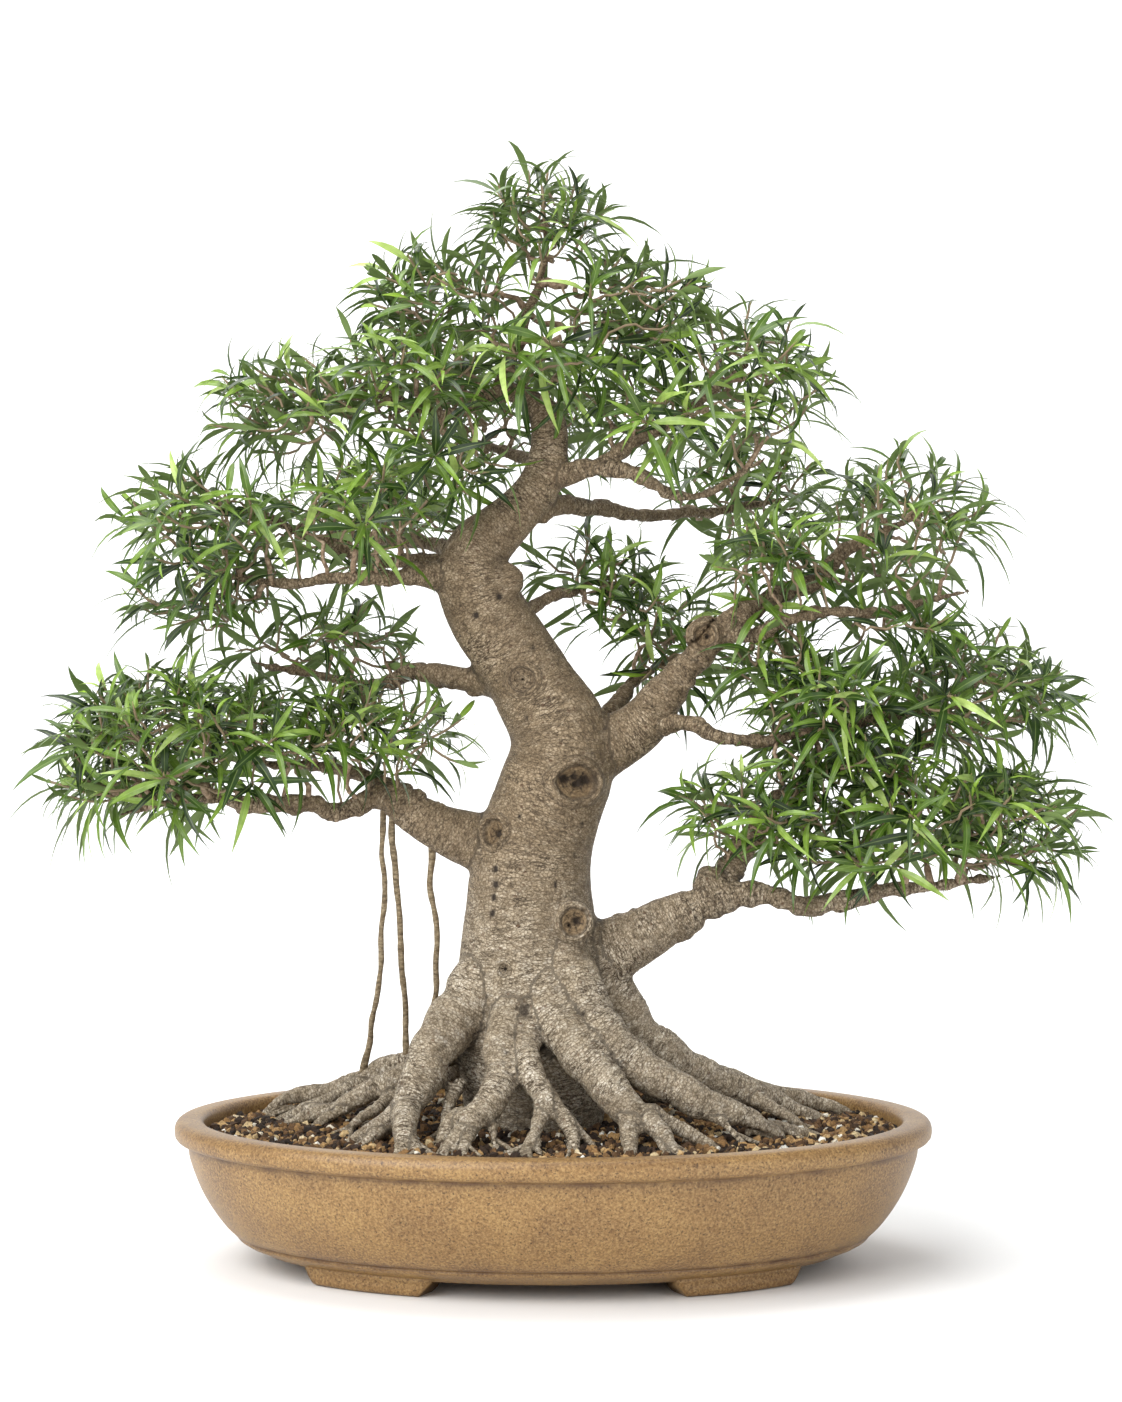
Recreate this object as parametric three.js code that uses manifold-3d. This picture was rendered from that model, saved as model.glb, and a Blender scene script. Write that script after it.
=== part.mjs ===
// A willow-leaf fig grown as a bonsai, standing in an oval glazed stoneware pot.
//
// Millimetres, +Z up. The origin is on the surface the pot stands on, below the middle of the pot.
// +X is the pot's long side, and -Y is the side the tree is seen from.
//
// The pot, the soil, the two drain screens and their wires are made things. The trunk and its spreading
// roots are one solid. Each limb is a tapered tube that starts at the face of the wood it grew from.
// The leaves are given as the solid outer shape of each clump, and each clump leaves room for its limbs.

import * as THREE from "three";
import { mergeVertices } from "three/addons/utils/BufferGeometryUtils.js";
import Module from "manifold-3d";

const wasm = await Module();
wasm.setup();

// ---------------------------------------------------------------- driving dimensions

const CLEARANCE = 0.3; // between any two pieces that touch

const POT_LENGTH = 490; // over the rim, along X
const POT_DEPTH = 360; // over the rim, along Y
const POT_HEIGHT = 94; // from the table to the top of the rim
const RIM_WIDTH = 19; // flat top of the rim
const RIM_BAND = 15; // height of the rim's outer band
const RIM_OVERHANG = 9; // how far the band stands out of the wall
const POT_WALL = 10;
const POT_FLOOR = 11;
const FOOT_HEIGHT = 9;
const FOOT_WIDTH = 24; // across the foot, towards the pot's middle
const FOOT_SPAN = 30; // degrees of the oval that one foot takes
const FOOT_BEARING = 52; // degrees from the pot's long axis to the middle of a foot
const BASE_INSET = 55; // how far the pot's underside is in from the rim
const BASE_BAND = 11; // height of the moulded band round the foot of the wall
const DRAIN_RADIUS = 12;
const DRAIN_OFFSET = 95; // from the pot's middle to a drain hole, along X

const SOIL_BELOW_RIM = 6; // at the wall
const SOIL_CROWN = 9; // how much higher the soil is at the trunk

const SCREEN_SIZE = 36; // square plastic drain screen
const SCREEN_THICKNESS = 1.6;
const SCREEN_HOLES = 5; // along each side
const SCREEN_BAR = 2.2;
const WIRE_DIAMETER = 1.5;
const WIRE_LEG = 16; // bent flat below the pot

const TREE_HEIGHT = 632; // from the soil at the wall to the top of the leaves
const ROOT_TIP = 2.6; // radius of a surface root where it goes into the soil
const TRUNK_SIDES = 14;
const LIMB_SIDES = 7;
const ROOT_SIDES = 7;
const FORK_SIDES = 5;
const AERIAL_SIDES = 6;
const ROOM_SIDES = 4; // of the coarse space a leaf clump leaves round a limb

// ---------------------------------------------------------------- solids and how they are joined

function solidFrom(geometry) {
  const bare = geometry.index ? geometry.toNonIndexed() : geometry.clone();
  bare.deleteAttribute("normal");
  bare.deleteAttribute("uv");
  const merged = mergeVertices(bare, 1e-3);
  const solid = new wasm.Manifold(
    new wasm.Mesh({
      numProp: 3,
      vertProperties: new Float32Array(merged.attributes.position.array),
      triVerts: new Uint32Array(merged.index.array),
    }),
  );
  if (solid.volume() < 0) throw new Error("a profile runs the wrong way round");
  return solid;
}

function geometryFrom(solid) {
  const mesh = solid.getMesh();
  const stride = mesh.numProp;
  const positions = new Float32Array(mesh.numVert * 3);
  for (let i = 0; i < mesh.numVert; i++) {
    positions.set(mesh.vertProperties.subarray(i * stride, i * stride + 3), i * 3);
  }
  const geometry = new THREE.BufferGeometry();
  geometry.setAttribute("position", new THREE.BufferAttribute(positions, 3));
  geometry.setIndex(new THREE.BufferAttribute(mesh.triVerts, 1));
  return geometry;
}

const joined = (solids) => solids.reduce((whole, next) => whole.add(next));

// The largest body of a solid: a cut along a grazing face can leave a crumb beside it.
function mainBody(solid) {
  return solid.decompose().reduce((best, next) => (next.volume() > best.volume() ? next : best));
}

const clay = new THREE.MeshStandardMaterial({ color: 0xa98552, roughness: 0.45, metalness: 0 });
const grit = new THREE.MeshStandardMaterial({ color: 0x5a4632, roughness: 0.95, metalness: 0 });
const bark = new THREE.MeshStandardMaterial({ color: 0x8d7f6c, roughness: 0.85, metalness: 0 });
const rootBark = new THREE.MeshStandardMaterial({ color: 0x7b6a54, roughness: 0.85, metalness: 0 });
const leaf = new THREE.MeshStandardMaterial({ color: 0x3f6a2a, roughness: 0.4, metalness: 0 });
const plastic = new THREE.MeshStandardMaterial({ color: 0x2b2b2b, roughness: 0.6, metalness: 0 });
const wireMetal = new THREE.MeshStandardMaterial({ color: 0x9a6a45, roughness: 0.35, metalness: 1 });

const bonsai = new THREE.Group();
const container = new THREE.Group(); // pot, screens, wires and soil
const wood = new THREE.Group();
const crown = new THREE.Group(); // the leaf clumps
bonsai.add(container, wood, crown);

function place(group, name, solid, material) {
  const mesh = new THREE.Mesh(geometryFrom(solid), material.clone());
  mesh.name = name;
  group.add(mesh);
}

// ---------------------------------------------------------------- pot

// The pot and the soil are turned profiles. Each ring is then drawn in along Y by the same amount, so the
// wall is as thick at the front as at the ends. Near the middle the rings are drawn in by a share instead.
const OVAL_DRAW = (POT_LENGTH - POT_DEPTH) / 2;
const OVAL_BLEND = 2 * OVAL_DRAW;
const OVAL_SIDES = 44;

function ovalDepth(radius) {
  return radius > OVAL_BLEND ? radius - OVAL_DRAW : radius / 2;
}

function ovalSolid(profile) {
  const turned = new THREE.LatheGeometry(
    profile.map(([radius, height]) => new THREE.Vector2(radius, height)),
    OVAL_SIDES,
  );
  const at = turned.attributes.position;
  for (let i = 0; i < at.count; i++) {
    const radius = Math.hypot(at.getX(i), at.getZ(i));
    const share = radius > 0 ? ovalDepth(radius) / radius : 0;
    // The lathe turns about Y: its Y becomes Z here, and its X and Z the two level axes.
    at.setXYZ(i, at.getX(i), -at.getZ(i) * share, at.getY(i));
  }
  return solidFrom(turned);
}

const RIM = POT_LENGTH / 2;
const INNER = RIM - RIM_WIDTH;
const WALL_TOP = POT_HEIGHT - RIM_BAND;
const NECK = RIM - RIM_OVERHANG;
const BASE = RIM - BASE_INSET;
const BAND_TOP = FOOT_HEIGHT + BASE_BAND;
const FLOOR_TOP = FOOT_HEIGHT + POT_FLOOR;

// The bulging wall, as a quarter oval from the moulded band up to the neck under the rim.
const BAND_REACH = BASE + (NECK - BASE) * 0.36;
function wallCurve(inset, steps, low, high) {
  const points = [];
  for (let i = 0; i <= steps; i++) {
    const turn = (i / steps) * (Math.PI / 2);
    const radius = BAND_REACH + (NECK - BAND_REACH) * Math.sin(turn) - inset;
    points.push([radius, low + (high - low) * (1 - Math.cos(turn))]);
  }
  return points;
}

const outside = [
  [0, FOOT_HEIGHT],
  [BASE - 6, FOOT_HEIGHT],
  [BASE, FOOT_HEIGHT + 1.5],
  [BAND_REACH + 1.5, BAND_TOP - 3],
  [BAND_REACH + 1.5, BAND_TOP],
  ...wallCurve(1, 5, BAND_TOP + 0.5, WALL_TOP - 2),
  [NECK + 1, WALL_TOP],
  [RIM - 3, WALL_TOP + 0.5],
  [RIM, WALL_TOP + 4],
  [RIM, POT_HEIGHT - 5],
  [RIM - 5, POT_HEIGHT],
];
const inside = [
  [INNER + 3, POT_HEIGHT],
  [INNER, POT_HEIGHT - 2],
  [INNER, WALL_TOP],
  ...wallCurve(POT_WALL, 3, FLOOR_TOP + 8, WALL_TOP - 4).reverse(),
  [BASE - POT_WALL, FLOOR_TOP],
  [0, FLOOR_TOP],
];

// One foot: a piece of an oval ring, standing on the table and let into the pot's underside.
function footSolid(bearing) {
  const outer = BASE + 3;
  const inner = outer - FOOT_WIDTH;
  const from = THREE.MathUtils.degToRad(bearing - FOOT_SPAN / 2);
  const to = THREE.MathUtils.degToRad(bearing + FOOT_SPAN / 2);
  const shape = new THREE.Shape();
  shape.absellipse(0, 0, outer, ovalDepth(outer), from, to, false);
  shape.absellipse(0, 0, inner, ovalDepth(inner), to, from, true);
  return solidFrom(
    new THREE.ExtrudeGeometry(shape, {
      depth: FOOT_HEIGHT + 4,
      bevelEnabled: false,
      curveSegments: 6,
    }),
  );
}

function drillSolid(x, radius, height) {
  const drill = new THREE.CylinderGeometry(radius, radius, height, 24);
  drill.rotateX(Math.PI / 2);
  drill.translate(x, 0, height / 2);
  return solidFrom(drill);
}

const drains = [-DRAIN_OFFSET, DRAIN_OFFSET];
const feet = [FOOT_BEARING, 180 - FOOT_BEARING, 180 + FOOT_BEARING, 360 - FOOT_BEARING];
let pot = ovalSolid([...outside, ...inside]);
for (const bearing of feet) pot = pot.add(footSolid(bearing));
for (const x of drains) pot = pot.subtract(drillSolid(x, DRAIN_RADIUS, POT_HEIGHT));
place(container, "pot", pot, clay);

// ---------------------------------------------------------------- drain screens and wires

const screenBottom = FLOOR_TOP + CLEARANCE;
const screenTop = screenBottom + SCREEN_THICKNESS;
const holePitch = (SCREEN_SIZE - SCREEN_BAR) / SCREEN_HOLES;

function slabSolid(x, y, width, bottom, top) {
  const slab = new THREE.BoxGeometry(width, width, top - bottom);
  slab.translate(x, y, (bottom + top) / 2);
  return solidFrom(slab);
}

function screenSolid(x) {
  const middle = (SCREEN_HOLES - 1) / 2;
  const holes = [];
  for (let row = 0; row < SCREEN_HOLES; row++) {
    for (let column = 0; column < SCREEN_HOLES; column++) {
      const holeX = x + (column - middle) * holePitch;
      const holeY = (row - middle) * holePitch;
      holes.push(slabSolid(holeX, holeY, holePitch - SCREEN_BAR, screenBottom - 1, screenTop + 1));
    }
  }
  return slabSolid(x, 0, SCREEN_SIZE, screenBottom, screenTop).subtract(joined(holes));
}

// A staple of wire: across the screen, down through two of its holes, and bent flat below the pot.
function wireSolid(x) {
  const over = screenTop + CLEARANCE + WIRE_DIAMETER / 2;
  const under = FOOT_HEIGHT - CLEARANCE - WIRE_DIAMETER / 2;
  const leg = holePitch;
  const end = leg + WIRE_LEG;
  const lengths = [];
  const lay = (fromX, toX, height) => {
    const level = new THREE.CylinderGeometry(WIRE_DIAMETER / 2, WIRE_DIAMETER / 2, toX - fromX, 8);
    level.rotateZ(Math.PI / 2);
    level.translate(x + (fromX + toX) / 2, 0, height);
    lengths.push(solidFrom(level));
  };
  lay(-end, -leg + WIRE_DIAMETER / 2, under);
  lay(-leg - WIRE_DIAMETER / 2, leg + WIRE_DIAMETER / 2, over);
  lay(leg - WIRE_DIAMETER / 2, end, under);
  for (const side of [-leg, leg]) {
    const upright = new THREE.CylinderGeometry(WIRE_DIAMETER / 2, WIRE_DIAMETER / 2, over - under, 8);
    upright.rotateX(Math.PI / 2);
    upright.translate(x + side, 0, (over + under) / 2);
    lengths.push(solidFrom(upright));
  }
  return joined(lengths);
}

drains.forEach((x, i) => {
  const side = ["left", "right"][i];
  place(container, "drain_screen_" + side, screenSolid(x), plastic);
  place(container, "screen_wire_" + side, wireSolid(x), wireMetal);
});

// ---------------------------------------------------------------- wood

const SOIL_EDGE = POT_HEIGHT - SOIL_BELOW_RIM;
const DRAWN_HEIGHT = 632; // the lines below are drawn for a tree this tall
const TREE_SCALE = TREE_HEIGHT / DRAWN_HEIGHT;

// Every line of the tree is x, y and the height above the soil at the wall, and then a radius.
const grown = ([x, y, height, radius = 0]) => [
  x * TREE_SCALE,
  y * TREE_SCALE,
  SOIL_EDGE + height * TREE_SCALE,
  radius * TREE_SCALE,
];

// A tapered tube: a turned taper bent along a smooth curve. Each row is x, y, z and the radius there.
// With swell, the same tube is that much fatter, to cut its clearance out of a neighbour.
function taper(rows, sides, swell = 0) {
  const line = rows.map(([x, y, z]) => new THREE.Vector3(x, y, z));
  const curve = new THREE.CatmullRomCurve3(line, false, "centripetal");
  const rings = rows.length - 1;
  const stations = [];
  for (let i = 0; i <= rings; i++) {
    stations.push({ at: i / rings, radius: rows[i][3] + swell });
  }
  const profile = [
    new THREE.Vector2(0, 0),
    ...stations.map(({ at, radius }) => new THREE.Vector2(radius, at)),
    new THREE.Vector2(0, 1),
  ];
  const turned = new THREE.LatheGeometry(profile, sides);
  const frames = [];
  let across = new THREE.Vector3(0, 1, 0);
  for (const { at } of stations) {
    const along = curve.getTangent(at);
    across = across.clone().addScaledVector(along, -across.dot(along)).normalize();
    frames.push({ along, across, beside: across.clone().cross(along), centre: curve.getPoint(at) });
  }
  const position = turned.attributes.position;
  const point = new THREE.Vector3();
  for (let i = 0; i < position.count; i++) {
    const ring = THREE.MathUtils.clamp((i % profile.length) - 1, 0, rings);
    const { along, across: x, beside: z, centre } = frames[ring];
    point.copy(centre).addScaledVector(x, position.getX(i)).addScaledVector(z, position.getZ(i));
    if (ring === 0) point.addScaledVector(along, -swell);
    if (ring === rings) point.addScaledVector(along, swell);
    position.setXYZ(i, point.x, point.y, point.z);
  }
  return solidFrom(turned);
}

// The trunk leans to the right above the low limbs, back to the left, and right again to the crown.
const trunkLine = [
  [-12, 2, -16, 56],
  [-12, 2, 22, 56],
  [-12, 1, 52, 53],
  [-13, 0, 82, 50],
  [-14, 0, 109, 47],
  [-15, -1, 134, 43],
  [-15, -2, 159, 39.5],
  [-12, -2, 183, 38],
  [-2, -2, 211, 36],
  [6, -1, 235, 35],
  [3, 1, 257, 31.5],
  [-9, 3, 279, 28.5],
  [-23, 4, 301, 26.5],
  [-34, 4, 320, 24.5],
  [-43, 3, 339, 22.5],
  [-48, 1, 358, 21.5],
  [-45, -1, 373, 19.5],
  [-34, -3, 387, 16],
  [-20, -3, 401, 13.5],
  [-8, -2, 418, 12],
  [-3, 0, 437, 10.5],
  [-3, 1, 454, 10],
  [-7, 2, 466, 9],
].map(grown);

// Surface roots. bearing: degrees from +X, turning left. spread: how far the tip gets towards the pot's
// wall. crest: height of the root's line above the soil at the trunk's axis. girth: radius at the trunk.
// Each fork leaves the root at a share of its length and swings away by some degrees, to its own share.
const roots = [
  { bearing: 162, spread: 0.93, crest: 96, girth: 18, sway: 5, forks: [[0.5, 9, 0.9], [0.66, -8, 0.94]] },
  { bearing: 184, spread: 0.78, crest: 102, girth: 18, sway: -5, forks: [[0.5, 12, 0.92]] },
  { bearing: 226, spread: 0.84, crest: 116, girth: 22, sway: 6, forks: [[0.48, 16, 0.98], [0.66, -9, 0.95]] },
  { bearing: 249, spread: 0.76, crest: 116, girth: 18, sway: -5, forks: [[0.55, 16, 0.98]] },
  { bearing: 270, spread: 0.67, crest: 118, girth: 16, sway: 4, forks: [[0.6, 17, 1]] },
  { bearing: 290, spread: 0.63, crest: 110, girth: 14, sway: -3, forks: [] },
  { bearing: 306, spread: 0.81, crest: 120, girth: 21, sway: 5, forks: [[0.5, -16, 0.94], [0.62, 11, 0.98]] },
  { bearing: 338, spread: 0.81, crest: 116, girth: 22, sway: -7, forks: [[0.55, -9, 0.86], [0.7, 8, 0.98]] },
  { bearing: 6, spread: 0.87, crest: 104, girth: 20, sway: 6, forks: [[0.6, 8, 0.9]] },
  { bearing: 22, spread: 0.90, crest: 86, girth: 17, sway: -5, forks: [[0.55, 10, 0.86]] },
  { bearing: 52, spread: 0.80, crest: 92, girth: 17, sway: 5, forks: [[0.55, -13, 0.96]] },
  { bearing: 82, spread: 0.78, crest: 96, girth: 17, sway: -4, forks: [[0.55, 13, 0.98]] },
  { bearing: 111, spread: 0.78, crest: 96, girth: 17, sway: 5, forks: [[0.58, -11, 1]] },
  { bearing: 138, spread: 0.82, crest: 92, girth: 17, sway: -5, forks: [[0.55, 11, 0.96]] },
];

const TRUNK_FOOT_X = trunkLine[0][0];

// From the trunk's axis, level, to the pot's inner wall.
function roomToWall(bearing) {
  const [longAxis, shortAxis] = [INNER, ovalDepth(INNER)];
  const a = (Math.cos(bearing) / longAxis) ** 2 + (Math.sin(bearing) / shortAxis) ** 2;
  const b = (TRUNK_FOOT_X * Math.cos(bearing)) / longAxis ** 2;
  const c = (TRUNK_FOOT_X / longAxis) ** 2 - 1;
  return (Math.sqrt(b * b - a * c) - b) / a;
}

function rootRow(root, along, drift = 0, share = 1, thin = 1) {
  const bearing = THREE.MathUtils.degToRad(root.bearing + drift);
  const length = root.spread * roomToWall(THREE.MathUtils.degToRad(root.bearing));
  const reach = length * THREE.MathUtils.lerp(1, share, along) * along;
  const side = root.sway * Math.sin(along * 5.5);
  const girth = root.girth * TREE_SCALE - ROOT_TIP;
  return [
    TRUNK_FOOT_X + reach * Math.cos(bearing) - side * Math.sin(bearing),
    reach * Math.sin(bearing) + side * Math.cos(bearing),
    SOIL_EDGE - ROOT_TIP + root.crest * TREE_SCALE * (1 - along) ** 1.3,
    ROOT_TIP + girth * (1 - along) ** 0.62 * thin,
  ];
}

function rootRows(root) {
  return [0.14, 0.31, 0.48, 0.65, 0.83, 1].map((along) => rootRow(root, along));
}

function forkRows(root, [start, swing, share]) {
  return [0, 1 / 3, 2 / 3, 1].map((step) => {
    const along = THREE.MathUtils.lerp(start, 1, step);
    return rootRow(root, along, swing * THREE.MathUtils.smoothstep(along, start, 1), share, 0.62);
  });
}

// Closed-over scars where old branches were taken off: a low boss on the trunk, at a point on its face.
const scars = [
  { at: [16, -33, 221], radius: 16 },
  { at: [-38, -24, 190], radius: 11 },
  { at: [14, -38, 135], radius: 12 },
  { at: [-20, -22, 290], radius: 11 },
];

function scarSolid({ at, radius }, swell) {
  const [x, y, z, girth] = grown([...at, radius]);
  const boss = new THREE.SphereGeometry(1, 10, 6);
  boss.scale(girth + swell, girth / 2 + swell, girth + swell);
  boss.translate(x, y, z);
  return solidFrom(boss);
}

function trunkSolid(swell) {
  const pieces = [taper(trunkLine, TRUNK_SIDES, swell)];
  for (const root of roots) {
    pieces.push(taper(rootRows(root), ROOT_SIDES, swell));
    for (const fork of root.forks) pieces.push(taper(forkRows(root, fork), FORK_SIDES, swell));
  }
  for (const scar of scars) pieces.push(scarSolid(scar, swell));
  return joined(pieces);
}

place(wood, "trunk", trunkSolid(0), bark);

// Each limb starts inside the wood it grew from and is cut back to that wood's face.
const limbs = {
  leader: [
    [-5, 1, 461, 9],
    [-19, 0, 471, 7.6],
    [-32, -3, 479, 6.8],
    [-29, -6, 492, 6],
    [-23, -4, 506, 5.2],
    [-18, 0, 524, 4.2],
    [-9, 2, 546, 3.3],
    [-5, 0, 568, 2.6],
    [-6, -2, 588, 2],
  ],
  limb_crown_left: [
    [-30, -3, 477, 5.5],
    [-44, -8, 472, 5],
    [-58, -14, 463, 4],
    [-76, -18, 461, 3.4],
    [-96, -16, 467, 3],
    [-116, -10, 472, 2.6],
    [-140, -4, 470, 2],
  ],
  limb_crown_right: [
    [-8, -2, 419, 7.5],
    [12, -8, 422, 7],
    [28, -14, 427, 6.4],
    [44, -18, 437, 5.6],
    [59, -16, 446, 4.8],
    [78, -8, 457, 4],
    [98, 0, 472, 3.2],
    [116, 6, 486, 2.4],
  ],
  limb_crown_right_low: [
    [24, -13, 426, 5.6],
    [40, -20, 424, 5.4],
    [57, -24, 419, 4.9],
    [69, -22, 412, 4.5],
    [84, -16, 407, 3.6],
    [102, -12, 410, 2.9],
    [124, -10, 424, 2.2],
  ],
  limb_left_high: [
    [-48, 0, 357, 14],
    [-67, -3, 356, 11],
    [-83, -7, 357, 8.2],
    [-97, -12, 356, 6.8],
    [-110, -16, 354, 6],
    [-128, -18, 355, 5],
    [-150, -14, 354, 4.4],
    [-172, -6, 350, 3.8],
    [-198, 2, 354, 3.2],
    [-225, 4, 360, 2.4],
  ],
  limb_left_high_upper: [
    [-56, 4, 358, 7],
    [-72, 10, 365, 6],
    [-90, 17, 367, 5.6],
    [-112, 24, 367, 5],
    [-134, 27, 373, 4.6],
    [-156, 26, 381, 4],
    [-180, 22, 391, 3.4],
    [-206, 18, 400, 2.4],
  ],
  limb_left_mid: [
    [-18, 8, 284, 10],
    [-56, 14, 289, 8],
    [-76, 20, 293, 7.2],
    [-92, 26, 294, 6.6],
    [-104, 31, 292, 5.8],
    [-113, 34, 286, 5.2],
    [-124, 36, 283, 4.8],
    [-138, 38, 288, 4.2],
    [-160, 40, 293, 3.4],
    [-186, 42, 298, 2.4],
  ],
  limb_left_low: [
    [-20, 0, 174, 19],
    [-57, -3, 187, 16.5],
    [-73, -5, 193, 15],
    [-87, -6, 200, 14.6],
    [-99, -5, 207, 14.4],
    [-109, -3, 211, 10.5],
    [-121, -2, 211, 7.8],
    [-133, -6, 206, 6.9],
    [-145, -11, 204, 6.8],
    [-158, -15, 209, 7],
    [-178, -18, 208, 7],
    [-196, -17, 209, 6.3],
    [-216, -14, 212, 4.8],
    [-240, -12, 211, 3.6],
    [-266, -12, 205, 2.4],
  ],
  limb_left_low_back: [
    [-96, 0, 212, 9],
    [-112, 10, 221, 6.4],
    [-126, 20, 227, 5.4],
    [-144, 30, 230, 4.6],
    [-168, 38, 232, 3.8],
    [-196, 44, 234, 3.2],
    [-226, 46, 238, 2.4],
  ],
  limb_right_high: [
    [8, 2, 232, 21],
    [44, 2, 250, 17],
    [60, 1, 262, 15],
    [72, 0, 278, 13.6],
    [83, -1, 292, 12.4],
    [96, -2, 306, 11.2],
    [110, -3, 322, 10.4],
    [126, -2, 333, 8.6],
    [144, 0, 342, 7.8],
    [161, 2, 350, 7.2],
    [178, 2, 362, 6.4],
    [194, 0, 374, 5.2],
    [213, -4, 385, 3.8],
    [230, -8, 392, 2.6],
  ],
  limb_right_high_low: [
    [108, -3, 319, 7],
    [125, -12, 317, 5.6],
    [138, -19, 319, 5.2],
    [147, -24, 326, 4.8],
    [164, -28, 330, 4.2],
    [186, -28, 332, 3.8],
    [209, -25, 332, 3.5],
    [230, -22, 337, 3],
    [252, -20, 342, 2.2],
  ],
  limb_right_mid: [
    [56, 0, 258, 9],
    [77, -8, 262, 6.2],
    [89, -13, 260, 5.7],
    [100, -16, 253, 5.5],
    [113, -18, 250, 5.2],
    [133, -17, 250, 4.9],
    [160, -12, 254, 4.4],
    [192, -6, 260, 3.8],
    [226, -2, 266, 3.2],
    [256, 0, 270, 2.4],
  ],
  limb_right_low: [
    [4, 0, 98, 23],
    [42, -4, 116, 19],
    [57, -6, 123, 17.4],
    [73, -8, 132, 16.2],
    [89, -10, 141, 15.2],
    [105, -12, 148, 13.6],
    [119, -14, 152, 11.2],
    [135, -17, 151, 8.8],
    [151, -20, 146, 7.8],
    [168, -23, 143, 7.4],
    [184, -24, 146, 7.2],
    [205, -22, 151, 6],
    [226, -19, 154, 4.8],
    [248, -17, 157, 3.8],
    [272, -16, 160, 2.6],
  ],
  limb_right_low_riser: [
    [100, -11, 148, 10.5],
    [117, -6, 170, 8.8],
    [130, 0, 192, 8],
    [144, 6, 209, 7.2],
    [160, 12, 220, 6.4],
    [182, 18, 230, 5.2],
    [212, 24, 239, 3.9],
    [244, 26, 245, 2.6],
  ],
  limb_back_left: [
    [-44, 4, 350, 11],
    [-52, 36, 364, 8],
    [-66, 64, 376, 6.4],
    [-88, 88, 382, 5.2],
    [-118, 106, 386, 4],
    [-150, 116, 388, 2.6],
  ],
  limb_back_crown: [
    [-10, 0, 412, 9],
    [-8, 26, 424, 6.6],
    [-16, 52, 436, 5.4],
    [-32, 78, 444, 4.4],
    [-52, 100, 452, 2.8],
  ],
  limb_back_right: [
    [-18, -2, 400, 9],
    [14, 26, 404, 6.4],
    [44, 54, 402, 5.4],
    [78, 82, 402, 4.6],
    [112, 100, 406, 3.8],
    [146, 112, 412, 2.6],
  ],
  limb_back_small: [
    [-30, 4, 327, 6],
    [-8, 28, 340, 4.4],
    [12, 44, 350, 3.6],
    [32, 54, 356, 2.4],
  ],
  limb_notch_back: [
    [24, 4, 244, 9],
    [37, 28, 262, 7.6],
    [44, 42, 278, 6.2],
    [56, 54, 290, 4.4],
    [74, 60, 300, 2.6],
  ],
};

// What later pieces have to stay clear of: closely for wood that meets wood, coarsely inside the leaves.
const trunkRoom = trunkSolid(CLEARANCE);
let woodRoom = trunkRoom;
let clumpRoom = trunkRoom;
for (const [name, drawn] of Object.entries(limbs)) {
  const rows = drawn.map(grown);
  place(wood, name, mainBody(taper(rows, LIMB_SIDES).subtract(woodRoom)), bark);
  woodRoom = woodRoom.add(taper(rows, LIMB_SIDES, CLEARANCE));
  const fatRows = rows.map(([x, y, z, radius]) => [x, y, z, radius / Math.cos(Math.PI / ROOM_SIDES)]);
  clumpRoom = clumpRoom.add(taper(fatRows, ROOM_SIDES, 2 * CLEARANCE));
}

// Aerial roots hang from the low left limb and have grown fast to the long root below it. from: a point
// inside the limb. to: how far along the long root. bow: how far it strays from straight along X.
const aerialRoots = {
  aerial_root_outer: { from: [-109, 0, 211], to: 0.6, bow: 6.5 },
  aerial_root_middle: { from: [-104, -1, 204], to: 0.49, bow: -1.5 },
  aerial_root_inner: { from: [-78, -4, 192], to: 0.38, bow: 3 },
};
const AERIAL_RADIUS = 1.8;
for (const [name, { from, to, bow }] of Object.entries(aerialRoots)) {
  const [topX, topY, topZ] = grown(from);
  const [footX, footY, footZ] = rootRow(roots[0], to);
  const rows = [0, 0.09, 0.2, 0.35, 0.5, 0.65, 0.8, 0.92, 1].map((down, i) => [
    THREE.MathUtils.lerp(topX, footX, down) + bow * Math.sin(Math.PI * down) + (i % 2 ? 0.8 : -0.8),
    THREE.MathUtils.lerp(topY, footY, down),
    THREE.MathUtils.lerp(topZ, footZ, down),
    AERIAL_RADIUS * (1 + 0.35 * Math.abs(2 * down - 1) ** 3),
  ]);
  place(wood, name, mainBody(taper(rows, AERIAL_SIDES).subtract(woodRoom)), rootBark);
}

// ---------------------------------------------------------------- soil

const screenRoom = (x) => {
  const room = new THREE.BoxGeometry(
    SCREEN_SIZE + 2 * CLEARANCE,
    SCREEN_SIZE + 2 * CLEARANCE,
    2 * (SCREEN_THICKNESS + WIRE_DIAMETER + 3 * CLEARANCE),
  );
  room.translate(x, 0, FLOOR_TOP);
  return solidFrom(room);
};

const soilProfile = [
  [0, FLOOR_TOP + CLEARANCE],
  [BASE - POT_WALL - CLEARANCE, FLOOR_TOP + CLEARANCE],
  ...wallCurve(POT_WALL + 4 * CLEARANCE, 3, FLOOR_TOP + 8, WALL_TOP - 4),
  [INNER - CLEARANCE, WALL_TOP],
  [INNER - CLEARANCE, SOIL_EDGE],
  [INNER - 30, SOIL_EDGE + 0.1 * SOIL_CROWN],
  [INNER * 0.6, SOIL_EDGE + 0.6 * SOIL_CROWN],
  [INNER * 0.3, SOIL_EDGE + SOIL_CROWN],
  [0, SOIL_EDGE + SOIL_CROWN],
];
let soil = ovalSolid(soilProfile).subtract(trunkRoom);
for (const x of drains) soil = soil.subtract(screenRoom(x));
place(container, "soil", mainBody(soil), grit);

// ---------------------------------------------------------------- leaf clumps

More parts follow.
